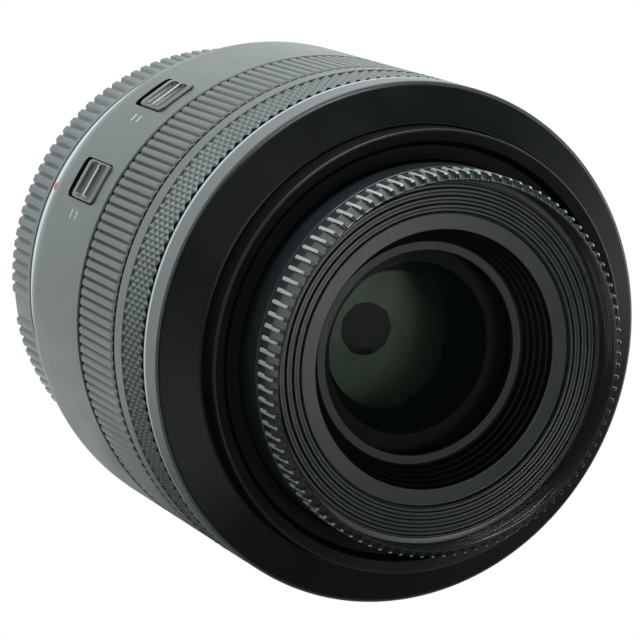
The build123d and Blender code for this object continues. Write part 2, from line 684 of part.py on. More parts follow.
def motor_bracket():
    """Sheet steel bracket: foot under the motor, spine beside it, end bearing for the lead screw."""
    inner = skirt_radius + BRACKET_CLEAR
    outer = nut_outer + BRACKET_SPINE
    spine_in = BRACKET_HALF_WIDTH + SEAT
    width = spine_in + BRACKET_SPINE + BRACKET_HALF_WIDTH
    shift = (spine_in + BRACKET_SPINE - BRACKET_HALF_WIDTH) / 2
    foot = block(MOTOR_AZIMUTH, motor_circle - MOTOR_RADIUS, outer, width, bracket_base, motor_base, shift)
    spine = block(MOTOR_AZIMUTH, inner, outer, BRACKET_SPINE, bracket_base, bracket_top,
                  spine_in + BRACKET_SPINE / 2)
    end = block(MOTOR_AZIMUTH, inner, outer, width, bracket_top - BRACKET_THICKNESS, bracket_top, shift)
    bore = rod(LEAD_SCREW_RADIUS + RUN, bracket_top - 2 * BRACKET_THICKNESS, bracket_top, motor_circle,
               MOTOR_AZIMUTH)
    return foot + spine + end - bore


def lead_screw():
    low = motor_top - MOTOR_BEARING + LOOSE
    return rod(LEAD_SCREW_RADIUS, low, bracket_top, motor_circle, MOTOR_AZIMUTH)


# Rings that turn on the guide tube

def focus_ring():
    bore = tube_radius + RUN
    return tube(bore + FOCUS_RING_WALL, bore, focus_start, focus_end)


def focus_grip():
    bore = tube_radius + RUN + FOCUS_RING_WALL + SEAT
    return tube(shell_radius, bore, focus_start, focus_end)


def control_ring():
    bore = tube_radius + RUN
    ring = tube(shell_radius, bore, control_start, control_end)
    z = detent_z()
    place = bore + DETENT_DEPTH - DETENT_RADIUS
    for azimuth in around(DETENT_COUNT, CLICK_AZIMUTH):
        ring -= rod(DETENT_RADIUS, z - DETENT_LENGTH / 2, z + DETENT_LENGTH / 2, place, azimuth)
    return ring


# Switches

def knob_length():
    return WINDOW_LENGTH - SWITCH_TRAVEL - 2 * LOOSE


def switch_knob(azimuth):
    """Thumb slider at the front end of its window, with two finger valleys and a wider foot inside."""
    length = knob_length()
    width = WINDOW_WIDTH - 2 * LOOSE
    foot_width = WINDOW_WIDTH + 2 * SLIDER_OVERLAP
    foot_top = sqrt((barrel_bore - LOOSE / 2) ** 2 - (foot_width / 2) ** 2)
    top = shell_radius + KNOB_HEIGHT_OUTSIDE
    front = window_end - LOOSE
    middle = front - length / 2
    pillar = extrude(RectangleRounded(length, width, KNOB_CORNER), top - foot_top + SEAT)
    knob = Pos(foot_top - SEAT, 0, middle) * Rot(0, 90, 0) * pillar
    foot = Box(SLIDER_THICKNESS, foot_width, length + SLIDER_OVERLAP,
               align=(Align.MAX, Align.CENTER, Align.CENTER))
    knob += Pos(foot_top, 0, middle) * foot
    for side in (-1, 1):
        place = middle + side * (KNOB_RIDGE_WIDTH + KNOB_VALLEY_WIDTH) / 2
        valley = Box(2 * KNOB_VALLEY_DEPTH, width - 2 * LOOSE, KNOB_VALLEY_WIDTH)
        knob -= Pos(top, 0, place) * valley
    return Rot(0, 0, azimuth) * knob


def switch_boards():
    """Small boards on the guide tube that the slider feet press on."""
    boards = []
    for azimuth in SWITCH_AZIMUTHS:
        boards.append(block(azimuth, tube_rear_radius + SEAT, tube_rear_radius + SEAT + SWITCH_BOARD_THICKNESS,
                            WINDOW_WIDTH + 2 * SLIDER_OVERLAP, window_start - SLIDER_OVERLAP, window_end))
    return boards


# Focus unit

def inner_barrel():
    return tube(skirt_radius, skirt_bore, skirt_start, filter_start)


def filter_ring():
    """Front ring: filter thread inside, shoulder for the front plate, spigot in the inner barrel."""
    spigot = skirt_bore - SEAT
    seat = plate_radius + SEAT
    return turned((plate_shoulder_bore, filter_start - FILTER_SPIGOT_LENGTH),
                  (spigot, filter_start - FILTER_SPIGOT_LENGTH), (spigot, filter_start),
                  (skirt_radius, filter_start), (skirt_radius, unit_front), (THREAD_RADIUS, unit_front),
                  (THREAD_RADIUS, plate_face), (seat, plate_face), (seat, plate_back),
                  (plate_shoulder_bore, plate_back))


def front_plate():
    """Front plate: ring grooves on its face and a stepped light trap down to the glass."""
    back = trap_front - TRAP_WALL
    points = [(plate_radius, plate_back), (plate_radius, plate_face), (plate_face_inner, plate_face),
              (plate_face_inner, trap_front), (trap_mouth_radius, trap_front)]
    for i in range(TRAP_STEPS):
        radius = trap_mouth_radius + (trap_throat_radius - trap_mouth_radius) * i / (TRAP_STEPS - 1)
        top = trap_front - TRAP_LENGTH * i / TRAP_STEPS
        if i > 0:
            points.append((radius, top))
        points.append((radius, top - TRAP_LENGTH / TRAP_STEPS))
    points += [(trap_throat_radius + TRAP_WALL, trap_end), (trap_mouth_radius + TRAP_WALL, back),
               (plate_shoulder_bore - LOOSE, back), (plate_shoulder_bore - LOOSE, plate_back)]
    plate = turned(*points)
    for i in range(GROOVE_COUNT):
        radius = plate_radius - GROOVE_FROM_EDGE - GROOVE_PITCH * i
        plate -= tube(radius + GROOVE_WIDTH / 2, radius - GROOVE_WIDTH / 2, plate_face - GROOVE_DEPTH, plate_face)
    return plate


def retaining_ring():
    return tube(retainer_outer, retainer_inner, glass_1_top, cell_front)


def front_cell():
    """Cell that holds the first three glass groups, all dropped in from the front."""
    flange = skirt_bore - SEAT
    return turned((cell_lip_bore, cell_base), (flange, cell_base), (flange, cell_base + CELL_FLANGE),
                  (cell_outer, cell_base + CELL_FLANGE), (cell_outer, cell_front),
                  (retainer_outer + SEAT, cell_front), (retainer_outer + SEAT, glass_1_top),
                  (GLASS_1[0] + SEAT, glass_1_top), (GLASS_1[0] + SEAT, glass_1_base),
                  (GLASS_2[0] + SEAT, glass_1_base), (GLASS_2[0] + SEAT, glass_2_base - SEAT),
                  (GLASS_3_REAR[0] + SEAT, glass_2_base - SEAT), (GLASS_3_REAR[0] + SEAT, glass_3_base),
                  (cell_lip_bore, glass_3_base))


def glass_spacer():
    return tube(GLASS_2[0], spacer_bore, spacer_base, glass_1_base)


def lens_frame():
    """Moving frame behind the front cell: bores for the rear glass, the stabiliser and the iris."""
    flange = skirt_bore - SEAT
    tail = frame_base + FRAME_TAIL_LENGTH
    points = [(frame_tail_outer, frame_base), (frame_tail_outer, tail), (frame_outer, tail + FRAME_TAPER),
              (frame_outer, cell_base - FRAME_FLANGE), (flange, cell_base - FRAME_FLANGE), (flange, cell_base),
              (iris_bore, cell_base), (iris_bore, iris_plate_base), (coil_bore, iris_plate_base),
              (coil_bore, coil_shelf), (stabiliser_bore, coil_shelf), (stabiliser_bore, stabiliser_shelf_top),
              (STABILISER_SHELF_OPENING, stabiliser_shelf_top), (STABILISER_SHELF_OPENING, stabiliser_shelf_base)]
    level = stabiliser_shelf_base
    seats = [(GLASS_6[0], glass_6_base - GLASS_AIR), (GLASS_7[0], glass_7_base - GLASS_AIR),
             (GLASS_8[0], glass_8_base - GLASS_AIR), (GLASS_9[0], frame_base)]
    for radius, low in seats:
        points += [(radius + SEAT, level), (radius + SEAT, low)]
        level = low
    return turned(*points)


def drive_nut():
    """Moulded nut on the lead screw, fixed to the frame's arm."""
    body = block(MOTOR_AZIMUTH, nut_inner, nut_outer, 2 * NUT_HALF_WIDTH, nut_base, nut_base + NUT_LENGTH)
    return body - rod(LEAD_SCREW_RADIUS + RUN, nut_base, nut_base + NUT_LENGTH, motor_circle, MOTOR_AZIMUTH)


# Glass groups

def cemented(rear, front, base):
    return [glass(rear, base), glass(front, base + rear[1])]


# Iris

def drive_point(closing):
    """Place of a blade's drive pin when the blade has closed by an angle, for the blade at azimuth 0."""
    start = (pivot_circle * cos(radians(DRIVE_AZIMUTH)) - pivot_circle,
             pivot_circle * sin(radians(DRIVE_AZIMUTH)))
    c, s = cos(radians(closing)), sin(radians(closing))
    return (pivot_circle + start[0] * c - start[1] * s, start[0] * s + start[1] * c)


def slot_point(closing):
    """The same place seen from the iris ring, which turns while the blade closes."""
    x, y = drive_point(closing)
    turn = radians(REST_CLOSING - closing) / BLADE_PER_RING
    return (x * cos(turn) - y * sin(turn), x * sin(turn) + y * cos(turn))


def iris_ring():
    ring = tube(iris_ring_outer, iris_ring_inner, iris_ring_base, iris_ring_base + IRIS_RING_THICKNESS)
    path = ThreePointArc(slot_point(0), slot_point(MOST_CLOSING / 2), slot_point(MOST_CLOSING))
    slot = extrude(SlotArc(path, 2 * (DRIVE_PIN_RADIUS + RUN)), 3 * IRIS_RING_THICKNESS)
    for azimuth in around(BLADE_COUNT):
        ring -= Rot(0, 0, azimuth) * Pos(0, 0, iris_ring_base - IRIS_RING_THICKNESS) * slot
    return ring


def blade_outline():
    """Sickle with its pivot and drive lug, drawn with the iris fully open."""
    reach = 2 * BLADE_OUTER
    wedge = make_face(Polyline((0, 0), (reach * cos(radians(BLADE_START)), reach * sin(radians(BLADE_START))),
                               (reach, reach), (-reach, reach),
                               (reach * cos(radians(BLADE_END)), reach * sin(radians(BLADE_END))), close=True))
    band = (Circle(BLADE_OUTER) - Circle(BLADE_INNER)) & wedge
    foot = ((BLADE_INNER + BLADE_OUTER) / 2, BLADE_LUG_WIDTH / 2)
    pivot = (pivot_circle, 0)
    drive = drive_point(0)
    for start, end in ((foot, pivot), (pivot, drive)):
        band += extend(start, end)
    return band


def extend(start, end):
    """Round-ended strip between two points."""
    middle = Vector((start[0] + end[0]) / 2, (start[1] + end[1]) / 2)
    along = Vector(end[0] - start[0], end[1] - start[1])
    turn = Vector(1, 0).get_signed_angle(along, Vector(0, 0, 1))
    return Pos(middle.X, middle.Y) * Rot(0, 0, turn) * SlotCenterToCenter(along.length, BLADE_LUG_WIDTH)


def iris_blade(index):
    base = blade_base + index * BLADE_STEP
    blade = Pos(0, 0, base) * extrude(blade_outline(), BLADE_THICKNESS)
    blade += rod(PIVOT_RADIUS, iris_floor - PIVOT_DEPTH, base + BLADE_THICKNESS, pivot_circle)
    x, y = drive_point(0)
    pin = Cylinder(DRIVE_PIN_RADIUS, iris_ring_base + IRIS_RING_THICKNESS - base, align=ON_FLOOR)
    blade += Pos(x, y, base) * pin
    closed = Pos(pivot_circle, 0) * Rot(0, 0, REST_CLOSING) * Pos(-pivot_circle, 0) * blade
    return Rot(0, 0, around(BLADE_COUNT)[index]) * closed


def iris_base():
    """Iris floor with the blade pivots' bores; the fourth glass group sits in its rear boss."""
    radius = GLASS_4_REAR[0] + SEAT
    body = turned((iris_opening, iris_floor), (iris_opening, iris_plate_base - SEAT),
                  (radius, iris_plate_base - SEAT), (radius, iris_plate_base - IRIS_BOSS_LENGTH),
                  (iris_boss_outer, iris_plate_base - IRIS_BOSS_LENGTH),
                  (iris_boss_outer, iris_plate_base), (iris_bore - SEAT, iris_plate_base),
                  (iris_bore - SEAT, iris_floor))
    for azimuth in around(BLADE_COUNT):
        body -= rod(PIVOT_RADIUS + SEAT, iris_floor - PIVOT_DEPTH - SEAT, iris_floor, pivot_circle, azimuth)
    return body


def iris_cover():
    outer = iris_bore - SEAT
    return turned((IRIS_COVER_OPENING, iris_cover_base), (outer - IRIS_COVER_RIM, iris_cover_base),
                  (outer - IRIS_COVER_RIM, iris_floor), (outer, iris_floor), (outer, iris_cover_top),
                  (IRIS_COVER_OPENING, iris_cover_top))


def iris_motor():
    return rod(IRIS_MOTOR_RADIUS, iris_cover_top, iris_cover_top + IRIS_MOTOR_LENGTH, iris_motor_circle,
               IRIS_MOTOR_AZIMUTH)


# Stabiliser

def stabiliser_plate():
    """Plate that slides along X on the frame's shelf and guides the carrier along Y."""
    return tube(guide_plate_outer, guide_plate_inner, guide_plate_base, guide_plate_base + GUIDE_PLATE_THICKNESS)


def stabiliser_carrier():
    hub = tube(carrier_bore + CARRIER_HUB_WALL, carrier_bore, carrier_base, carrier_base + CARRIER_HEIGHT)
    return hub + tube(carrier_wing_outer, carrier_bore + SEAT, carrier_base, carrier_base + CARRIER_WING_THICKNESS)


def stabiliser_magnets():
    low = carrier_base + CARRIER_WING_THICKNESS
    return [block(azimuth, magnet_inner, magnet_inner + MAGNET_RADIAL, MAGNET_TANGENT, low, low + MAGNET_HEIGHT)
            for azimuth in DRIVE_AZIMUTHS]


def coil_board():
    """Board across the frame with the two flat coils that drive the magnets."""
    board = tube(coil_bore - SEAT, coil_board_inner, coil_shelf, coil_shelf + COIL_BOARD_THICKNESS)
    inner = magnet_circle + LOOSE - COIL_RADIAL / 2
    for azimuth in DRIVE_AZIMUTHS:
        coil = block(azimuth, inner, inner + COIL_RADIAL, COIL_TANGENT, coil_shelf - COIL_HEIGHT, coil_shelf)
        hole = block(azimuth, inner + COIL_WIRE, inner + COIL_RADIAL - COIL_WIRE, COIL_TANGENT - 2 * COIL_WIRE,
                     coil_shelf - COIL_HEIGHT, coil_shelf)
        board += coil - hole
    return board


def framed(body):
    """Adds the frame's arms: a sleeve on one shaft, a fork on the other and the nut's arm."""
    reach = frame_outer - FRAME_WALL / 2
    low = frame_base + SLEEVE_AT
    body += block(SHAFT_AZIMUTH, reach, shaft_circle, SLEEVE_ARM_WIDTH, low, low + SLEEVE_LENGTH)
    body += rod(SLEEVE_RADIUS, low, low + SLEEVE_LENGTH, shaft_circle, SHAFT_AZIMUTH)
    body -= rod(SHAFT_RADIUS + RUN, low, low + SLEEVE_LENGTH, shaft_circle, SHAFT_AZIMUTH)
    far = SHAFT_AZIMUTH + 180.0
    fork_reach = shaft_circle + FORK_BEYOND_SHAFT
    fork = block(far, reach, fork_reach, FORK_WIDTH, low, low + FORK_LENGTH)
    slot = block(far, shaft_circle - SHAFT_RADIUS - RUN, fork_reach, 2 * (SHAFT_RADIUS + RUN), low,
                 low + FORK_LENGTH)
    body += fork - slot
    body += block(MOTOR_AZIMUTH, reach, nut_inner, 2 * NUT_HALF_WIDTH, nut_base, nut_base + NUT_LENGTH)
    return body


def glass_4_base():
    return iris_plate_base - SEAT - GLASS_AIR - GLASS_4_FRONT[1] - GLASS_4_REAR[1]


def parts():
    """Every piece by name."""
    made = {
        "rear_cap": rear_cap(), "mount_ring": mount_ring(), "mount_screws": mount_screws(),
        "contact_block": contact_block(), "contact_pins": contact_pins(), "rear_baffle": rear_baffle(),
        "rear_trim_ring": rear_trim_ring(), "rear_barrel": rear_barrel(), "front_trim_ring": front_trim_ring(),
        "front_shell": front_shell(), "front_bezel": front_bezel(), "barrel_seal": barrel_seal(),
        "guide_tube": guide_tube(), "guide_shafts": guide_shafts(), "main_board": main_board(),
        "click_spring": click_spring(), "ring_sensor": ring_sensor(), "focus_motor": focus_motor(),
        "motor_bracket": motor_bracket(), "lead_screw": lead_screw(), "focus_ring": focus_ring(),
        "focus_grip": focus_grip(), "control_ring": control_ring(), "switch_boards": switch_boards(),
        "inner_barrel": inner_barrel(), "filter_ring": filter_ring(), "front_plate": front_plate(),
        "retaining_ring": retaining_ring(), "front_cell": front_cell(), "glass_spacer": glass_spacer(),
        "lens_frame": framed(lens_frame()), "drive_nut": drive_nut(),
        "iris_base": iris_base(), "iris_ring": iris_ring(), "iris_cover": iris_cover(),
        "iris_motor": iris_motor(), "stabiliser_plate": stabiliser_plate(),
        "stabiliser_carrier": stabiliser_carrier(), "stabiliser_magnets": stabiliser_magnets(),
        "coil_board": coil_board(),
        "glass_group_1": glass(GLASS_1, glass_1_base), "glass_group_2": glass(GLASS_2, glass_2_base),
        "glass_group_3": cemented(GLASS_3_REAR, GLASS_3_FRONT, glass_3_base),
        "glass_group_4": cemented(GLASS_4_REAR, GLASS_4_FRONT, glass_4_base()),
        "glass_group_5": glass(GLASS_5, carrier_base + (CARRIER_HEIGHT - GLASS_5[1]) / 2),
        "glass_group_6": glass(GLASS_6, glass_6_base), "glass_group_7": glass(GLASS_7, glass_7_base),
        "glass_group_8": glass(GLASS_8, glass_8_base), "glass_group_9": glass(GLASS_9, glass_9_base),
    }
    for name, azimuth in zip(SWITCH_NAMES, SWITCH_AZIMUTHS):
        made[name] = switch_knob(azimuth)
    for index in range(BLADE_COUNT):
        made[f"iris_blade_{index + 1}"] = iris_blade(index)
    return made


for name, shape in parts().items():
    solid = Compound(children=shape) if isinstance(shape, list) else shape
    export_step(solid, f"parts/{name}.step")
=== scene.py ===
import bpy
import bmesh
from math import cos, degrees, hypot, pi, radians, sin
from mathutils import Matrix, Vector


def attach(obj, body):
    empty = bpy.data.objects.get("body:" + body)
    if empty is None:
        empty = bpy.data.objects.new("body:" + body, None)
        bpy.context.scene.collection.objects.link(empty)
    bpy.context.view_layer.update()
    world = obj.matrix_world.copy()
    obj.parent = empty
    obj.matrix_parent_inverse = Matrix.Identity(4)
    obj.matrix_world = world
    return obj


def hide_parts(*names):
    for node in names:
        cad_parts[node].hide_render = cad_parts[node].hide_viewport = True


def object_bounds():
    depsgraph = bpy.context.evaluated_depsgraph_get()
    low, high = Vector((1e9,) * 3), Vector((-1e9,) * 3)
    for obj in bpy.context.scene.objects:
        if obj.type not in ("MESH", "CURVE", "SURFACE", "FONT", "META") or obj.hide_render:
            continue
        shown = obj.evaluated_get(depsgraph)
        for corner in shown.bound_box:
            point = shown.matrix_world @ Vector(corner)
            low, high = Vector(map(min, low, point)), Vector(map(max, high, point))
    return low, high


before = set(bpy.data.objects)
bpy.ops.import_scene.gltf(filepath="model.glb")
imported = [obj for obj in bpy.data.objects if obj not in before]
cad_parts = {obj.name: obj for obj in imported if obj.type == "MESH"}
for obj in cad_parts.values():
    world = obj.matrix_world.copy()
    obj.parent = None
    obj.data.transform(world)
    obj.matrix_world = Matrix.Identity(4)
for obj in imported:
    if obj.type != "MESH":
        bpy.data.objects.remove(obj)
cad_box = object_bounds()


# Camera. A long lens looks at the front of the object from the front left, rolled as in the photograph,
# because the real lens lies on its side there and this one stands on its cap.
camera = bpy.data.cameras.new("camera")
camera.sensor_width = 36.0
camera.lens = 177.6
camera.clip_start = 0.01
camera.clip_end = 20.0
camera_place = Vector((-0.20075, 0.07898, 0.44208))
right = Vector((0.90236, 0.08268, 0.42299))
down = Vector((0.0, -0.98143, 0.19184))
forward = Vector((0.43099, -0.17311, -0.88560))
camera_turn = Matrix((right, -down, -forward)).transposed().to_4x4()
camera_object = bpy.data.objects.new("camera", camera)
camera_object.matrix_world = Matrix.Translation(camera_place) @ camera_turn
bpy.context.scene.collection.objects.link(camera_object)
bpy.context.scene.camera = camera_object
bpy.context.scene.view_settings.view_transform = "Standard"


# Dust cap: a cup moulded in ABS and pushed on the camera mount. Shallow ribs that fade towards the rim give
# grip, one field without ribs lies a little deeper, and three lugs inside hold it on the bayonet.
# Sizes are in millimetres, and z is counted along the axis from the mount's flange.
MM = 0.001
CAP_BOTTOM = round(cad_box[0][2] / MM, 3)
CAP_FLOOR = -9.1
CAP_RIM = -0.3
CAP_RADIUS = 33.9
CAP_RIM_RADIUS = 34.6
CAP_BORE = 31.2
CAP_RIBS = 120
CAP_RIB_DEPTH = 0.45
CAP_FIELD = (188.9, 195.1)
CAP_FIELD_DEPTH = 0.34
CAP_LUGS = (90, 210, 330)
CAP_LUG_SPAN = 40.0
CAP_LUG_RADIUS = 27.1
CAP_LUG_REAR, CAP_LUG_FRONT = -4.1, -2.6

# Each rib and its groove are cut into columns at these shares of the pitch, each with its share of the depth.
CAP_PARTS = (0.0, 0.07, 0.15, 0.26, 0.74, 0.85, 0.93)
CAP_DEEP = (1.0, 0.9, 0.45, 0.0, 0.0, 0.45, 0.9)

# Heights along the wall, each with the share of the grooves that is left there.
CAP_FADE = ((-10.3, 1.0), (-5.0, 1.0), (-3.2, 0.75), (-2.3, 0.35), (-1.7, 0.0))

# Every finish is slightly uneven, in soft patches about 7 mm across, as if it had been handled.
PATCHES_PER_METRE = 140.0
PATCH_GLOSS = 0.04
PATCH_TONE = 0.12


def linear(text):
    """Linear colour with alpha from a hex colour as seen on screen."""
    parts = [int(text[i:i + 2], 16) / 255 for i in (1, 3, 5)]
    return tuple(p / 12.92 if p <= 0.04045 else ((p + 0.055) / 1.055) ** 2.4 for p in parts) + (1.0,)


def add(tree, kind, inputs=None, **settings):
    """Adds a node to a material with its settings, and links or fills its inputs."""
    made = tree.nodes.new(kind)
    for key, value in settings.items():
        setattr(made, key, value)
    for key, value in (inputs or {}).items():
        if isinstance(value, bpy.types.NodeSocket):
            tree.links.new(value, made.inputs[key])
        else:
            made.inputs[key].default_value = value
    return made


def finish(name, colour, rough, grain=0.0, depth=0.0, **sockets):
    """Material with a fine grain of that size and depth in mm, and slight patches of gloss and tone."""
    material = bpy.data.materials.new(name)
    material.use_nodes = True
    tree = material.node_tree
    shader = tree.nodes["Principled BSDF"]
    place_on = add(tree, "ShaderNodeTexCoord").outputs["Object"]
    patches = add(tree, "ShaderNodeTexNoise", {"Vector": place_on, "Scale": PATCHES_PER_METRE, "Detail": 4.0})
    gloss = add(tree, "ShaderNodeMapRange", {"Value": patches.outputs["Fac"],
                                             "From Min": 0.3, "From Max": 0.7,
                                             "To Min": rough - PATCH_GLOSS, "To Max": rough + PATCH_GLOSS})
    ramp = add(tree, "ShaderNodeValToRGB", {"Fac": patches.outputs["Fac"]})
    dark, light = ramp.color_ramp.elements
    dark.position = 0.3
    dark.color = tuple(c * (1 - PATCH_TONE) for c in linear(colour)[:3]) + (1.0,)
    light.position = 0.7
    light.color = linear(colour)
    tree.links.new(ramp.outputs["Color"], shader.inputs["Base Color"])
    tree.links.new(gloss.outputs["Result"], shader.inputs["Roughness"])
    if grain:
        fine = add(tree, "ShaderNodeTexNoise", {"Vector": place_on, "Scale": 1.0 / (grain * MM),
                                                "Detail": 2.0})
        bump = add(tree, "ShaderNodeBump", {"Height": fine.outputs["Fac"], "Distance": depth * MM,
                                            "Strength": 1.0})
        tree.links.new(bump.outputs["Normal"], shader.inputs["Normal"])
    for key, value in sockets.items():
        shader.inputs[key.replace("_", " ")].default_value = value
    return material


def finish_mesh(name, bm, body, material, node=None, sharp=38.0):
    """Turns a bmesh in millimetres into a piece that rides on a body and may stand for a CAD node."""
    bmesh.ops.scale(bm, vec=(MM, MM, MM), verts=bm.verts)
    bmesh.ops.recalc_face_normals(bm, faces=bm.faces)
    mesh = bpy.data.meshes.new(name)
    bm.to_mesh(mesh)
    bm.free()
    mesh.shade_smooth()
    mesh.set_sharp_from_angle(angle=radians(sharp))
    mesh.materials.append(material)
    piece = bpy.data.objects.new(name, mesh)
    bpy.context.scene.collection.objects.link(piece)
    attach(piece, body)
    if node:
        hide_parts(node)
    return piece


def pitch_angles(count, parts):
    """Angles of the columns of a ribbed ring: each rib's pitch is divided at the given shares."""
    pitch = 2 * pi / count
    return [pitch * (i + part) for i in range(count) for part in parts]


def ribbed_ring(name, angles, section, body, material, node, crossed=0, sharp=38.0):
    """Ring whose closed section, section(column, angle) of (radius, z) points, changes round the axis.
    The first crossed points of the section are joined as a lattice of four-sided points."""
    bm = bmesh.new()
    columns = []
    for i, angle in enumerate(angles):
        c, s = cos(angle), sin(angle)
        columns.append([bm.verts.new((r * c, r * s, z)) for r, z in section(i, angle)])
    rows = len(columns[0])
    for i, here in enumerate(columns):
        there = columns[(i + 1) % len(columns)]
        for j in range(rows):
            k = (j + 1) % rows
            corners = (here[j], there[j], there[k], here[k])
            if j + 1 < crossed:
                if (i + j) % 2:
                    corners = corners[1:] + corners[:1]
                bm.faces.new((corners[0], corners[1], corners[2]))
                bm.faces.new((corners[0], corners[2], corners[3]))
            else:
                bm.faces.new(corners)
    return finish_mesh(name, bm, body, material, node, sharp)


def soften(points, size):
    """Rounds the corners of a closed outline of (radius, z) points. A point beside each end of a rounding
    keeps the shading of the flat faces flat; points on the axis stay."""
    result = []
    for i, point in enumerate(points):
        corner = Vector(point)
        if corner.x == 0:
            result.append(tuple(corner))
            continue
        before = Vector(points[i - 1]) - corner
        after = Vector(points[(i + 1) % len(points)]) - corner
        start = corner + before.normalized() * min(size, 0.35 * before.length)
        end = corner + after.normalized() * min(size, 0.35 * after.length)
        result.append(tuple(corner + (start - corner) * 1.3))
        for t in (0.0, 0.5, 1.0):
            result.append(tuple(start * (1 - t) ** 2 + corner * (2 * t * (1 - t)) + end * t ** 2))
        result.append(tuple(corner + (end - corner) * 1.3))
    return result


def turned(name, points, body, material, node=None, soft=0.12, columns=288, arc=360.0, start=0.0):
    """Piece turned about the lens axis from a closed outline of (radius, z) points."""
    bm = bmesh.new()
    outline = soften(points, soft) if soft else points
    c, s = cos(radians(start)), sin(radians(start))
    ring = [bm.verts.new((r * c, r * s, z)) for r, z in outline]
    for i in range(len(ring)):
        bm.edges.new((ring[i - 1], ring[i]))
    whole = arc >= 360.0
    if not whole:
        bm.faces.new(ring)
    bmesh.ops.spin(bm, geom=bm.verts[:] + bm.edges[:] + bm.faces[:], cent=(0, 0, 0), axis=(0, 0, 1),
                   angle=radians(arc), steps=columns, use_merge=whole)
    bmesh.ops.remove_doubles(bm, verts=bm.verts, dist=1e-5)
    return finish_mesh(name, bm, body, material, node)


def cap_section(column, angle):
    in_field = CAP_FIELD[0] < degrees(angle) % 360 < CAP_FIELD[1]
    bottom = [(0.0, CAP_BOTTOM), (CAP_RADIUS - 0.8, CAP_BOTTOM)]
    wall = []
    for z, share in CAP_FADE:
        groove = CAP_RIB_DEPTH * max(0.0, share + CAP_DEEP[column % len(CAP_DEEP)] - 1)
        wall.append((CAP_RADIUS - (CAP_FIELD_DEPTH if in_field else groove), z))
    rim = [(CAP_RIM_RADIUS - 0.3, CAP_RIM - 1.3), (CAP_RIM_RADIUS, CAP_RIM - 1.0),
           (CAP_RIM_RADIUS, CAP_RIM - 0.2), (CAP_RIM_RADIUS - 0.2, CAP_RIM)]
    bore = [(CAP_BORE + 0.1, CAP_RIM), (CAP_BORE, CAP_RIM - 0.1), (CAP_BORE, CAP_FLOOR), (0.0, CAP_FLOOR)]
    return bottom + wall + rim + bore


# ABS from a spark-eroded mould: dark grey with a soft sheen.
moulded_abs = finish("moulded_abs", "#565E5F", 0.4, grain=0.25, depth=0.01, Specular_IOR_Level=0.5)
ribbed_ring("cap", pitch_angles(CAP_RIBS, CAP_PARTS), cap_section, "rear_cap", moulded_abs, "rear_cap")
lug_outline = [(CAP_LUG_RADIUS, CAP_LUG_REAR), (CAP_BORE + 0.1, CAP_LUG_REAR),
               (CAP_BORE + 0.1, CAP_LUG_FRONT), (CAP_LUG_RADIUS, CAP_LUG_FRONT)]
for index, azimuth in enumerate(CAP_LUGS):
    turned(f"cap_lug_{index + 1}", lug_outline, "rear_cap", moulded_abs, columns=32,
           arc=CAP_LUG_SPAN, start=azimuth - CAP_LUG_SPAN / 2)


# Ring at the mount: aluminium, turned and satin anodised, clamped under the flange. Its chamfer at the rear
# is painted black, as painted shade under the flange. A small enamelled mark shows where the lens is set to
# the camera.
RING_REAR, RING_FRONT = 0.4, 3.2
RING_BORE, RING_RADIUS = 32.25, 34.9
RING_PAINTED_SHADE_END = 0.84
MARK_AZIMUTH, MARK_Z = 157.4, 1.9
MARK_RADIUS = 0.75
MARK_SHAPE = (0.3, 0.85, 1.0)


def place(bm, azimuth, radius, z):
    """Moves a shape made at the origin out along X, and round the lens axis to its azimuth."""
    bmesh.ops.translate(bm, vec=(radius, 0, z), verts=bm.verts)
    bmesh.ops.rotate(bm, cent=(0, 0, 0), matrix=Matrix.Rotation(radians(azimuth), 3, "Z"), verts=bm.verts)


# Anodised aluminium scatters a broad, pale highlight. The matt black gives none. It is the real black of
# hidden faces, and also painted shade on faces in seams and gaps.
satin_anodised = finish("satin_anodised_aluminium", "#C4CACC", 0.45, grain=0.12, depth=0.004, Metallic=0.6)
black_paint_and_shade = finish("matt_black_and_painted_shade", "#0E1010", 0.55, grain=0.2, depth=0.006)
ring = turned("mount_side_ring", [(RING_BORE, RING_REAR), (RING_RADIUS - 0.6, RING_REAR), (RING_RADIUS, 0.85),
              (RING_RADIUS, RING_FRONT), (RING_BORE, RING_FRONT)], "barrel", satin_anodised, "rear_trim_ring",
              soft=0.05)
# The faces of the rear chamfer are painted black: painted shade under the flange.
ring.data.materials.append(black_paint_and_shade)
for face in ring.data.polygons:
    if face.center.z < RING_PAINTED_SHADE_END * MM:
        face.material_index = 1

# Enamel, filled into a small hollow: one even red dot with little gloss.
red_enamel = finish("red_enamel", "#D23A3A", 0.5)
bm = bmesh.new()
bmesh.ops.create_uvsphere(bm, u_segments=24, v_segments=12, radius=MARK_RADIUS)
bmesh.ops.scale(bm, vec=MARK_SHAPE, verts=bm.verts)
place(bm, MARK_AZIMUTH, RING_RADIUS - 0.04, MARK_Z)
finish_mesh("index_mark", bm, "barrel", red_enamel)


# Rear barrel: a thin aluminium shell, turned and painted grey, flared where it meets the ring at the mount.
# Two rounded windows are milled through it for the switches. The cut edges in the windows and at the front
# end are painted black, as painted shade in these gaps.
SHELL_RADIUS = round(cad_box[1][0] / MM, 3)
SHELL_FRONT = 26.75
SHELL_BORE = 35.4
FLARE_RADIUS, FLARE_END = 9.778, 9.5
SWITCHES = {"stabiliser_switch": 127.3, "focus_mode_switch": 153.3}
WINDOW_LENGTH, WINDOW_WIDTH, WINDOW_CORNER = 10.5, 6.6, 1.0
WINDOW_Z = 17.75
WINDOW_CUT_FROM, WINDOW_CUT_DEPTH = 33.6, 5.4


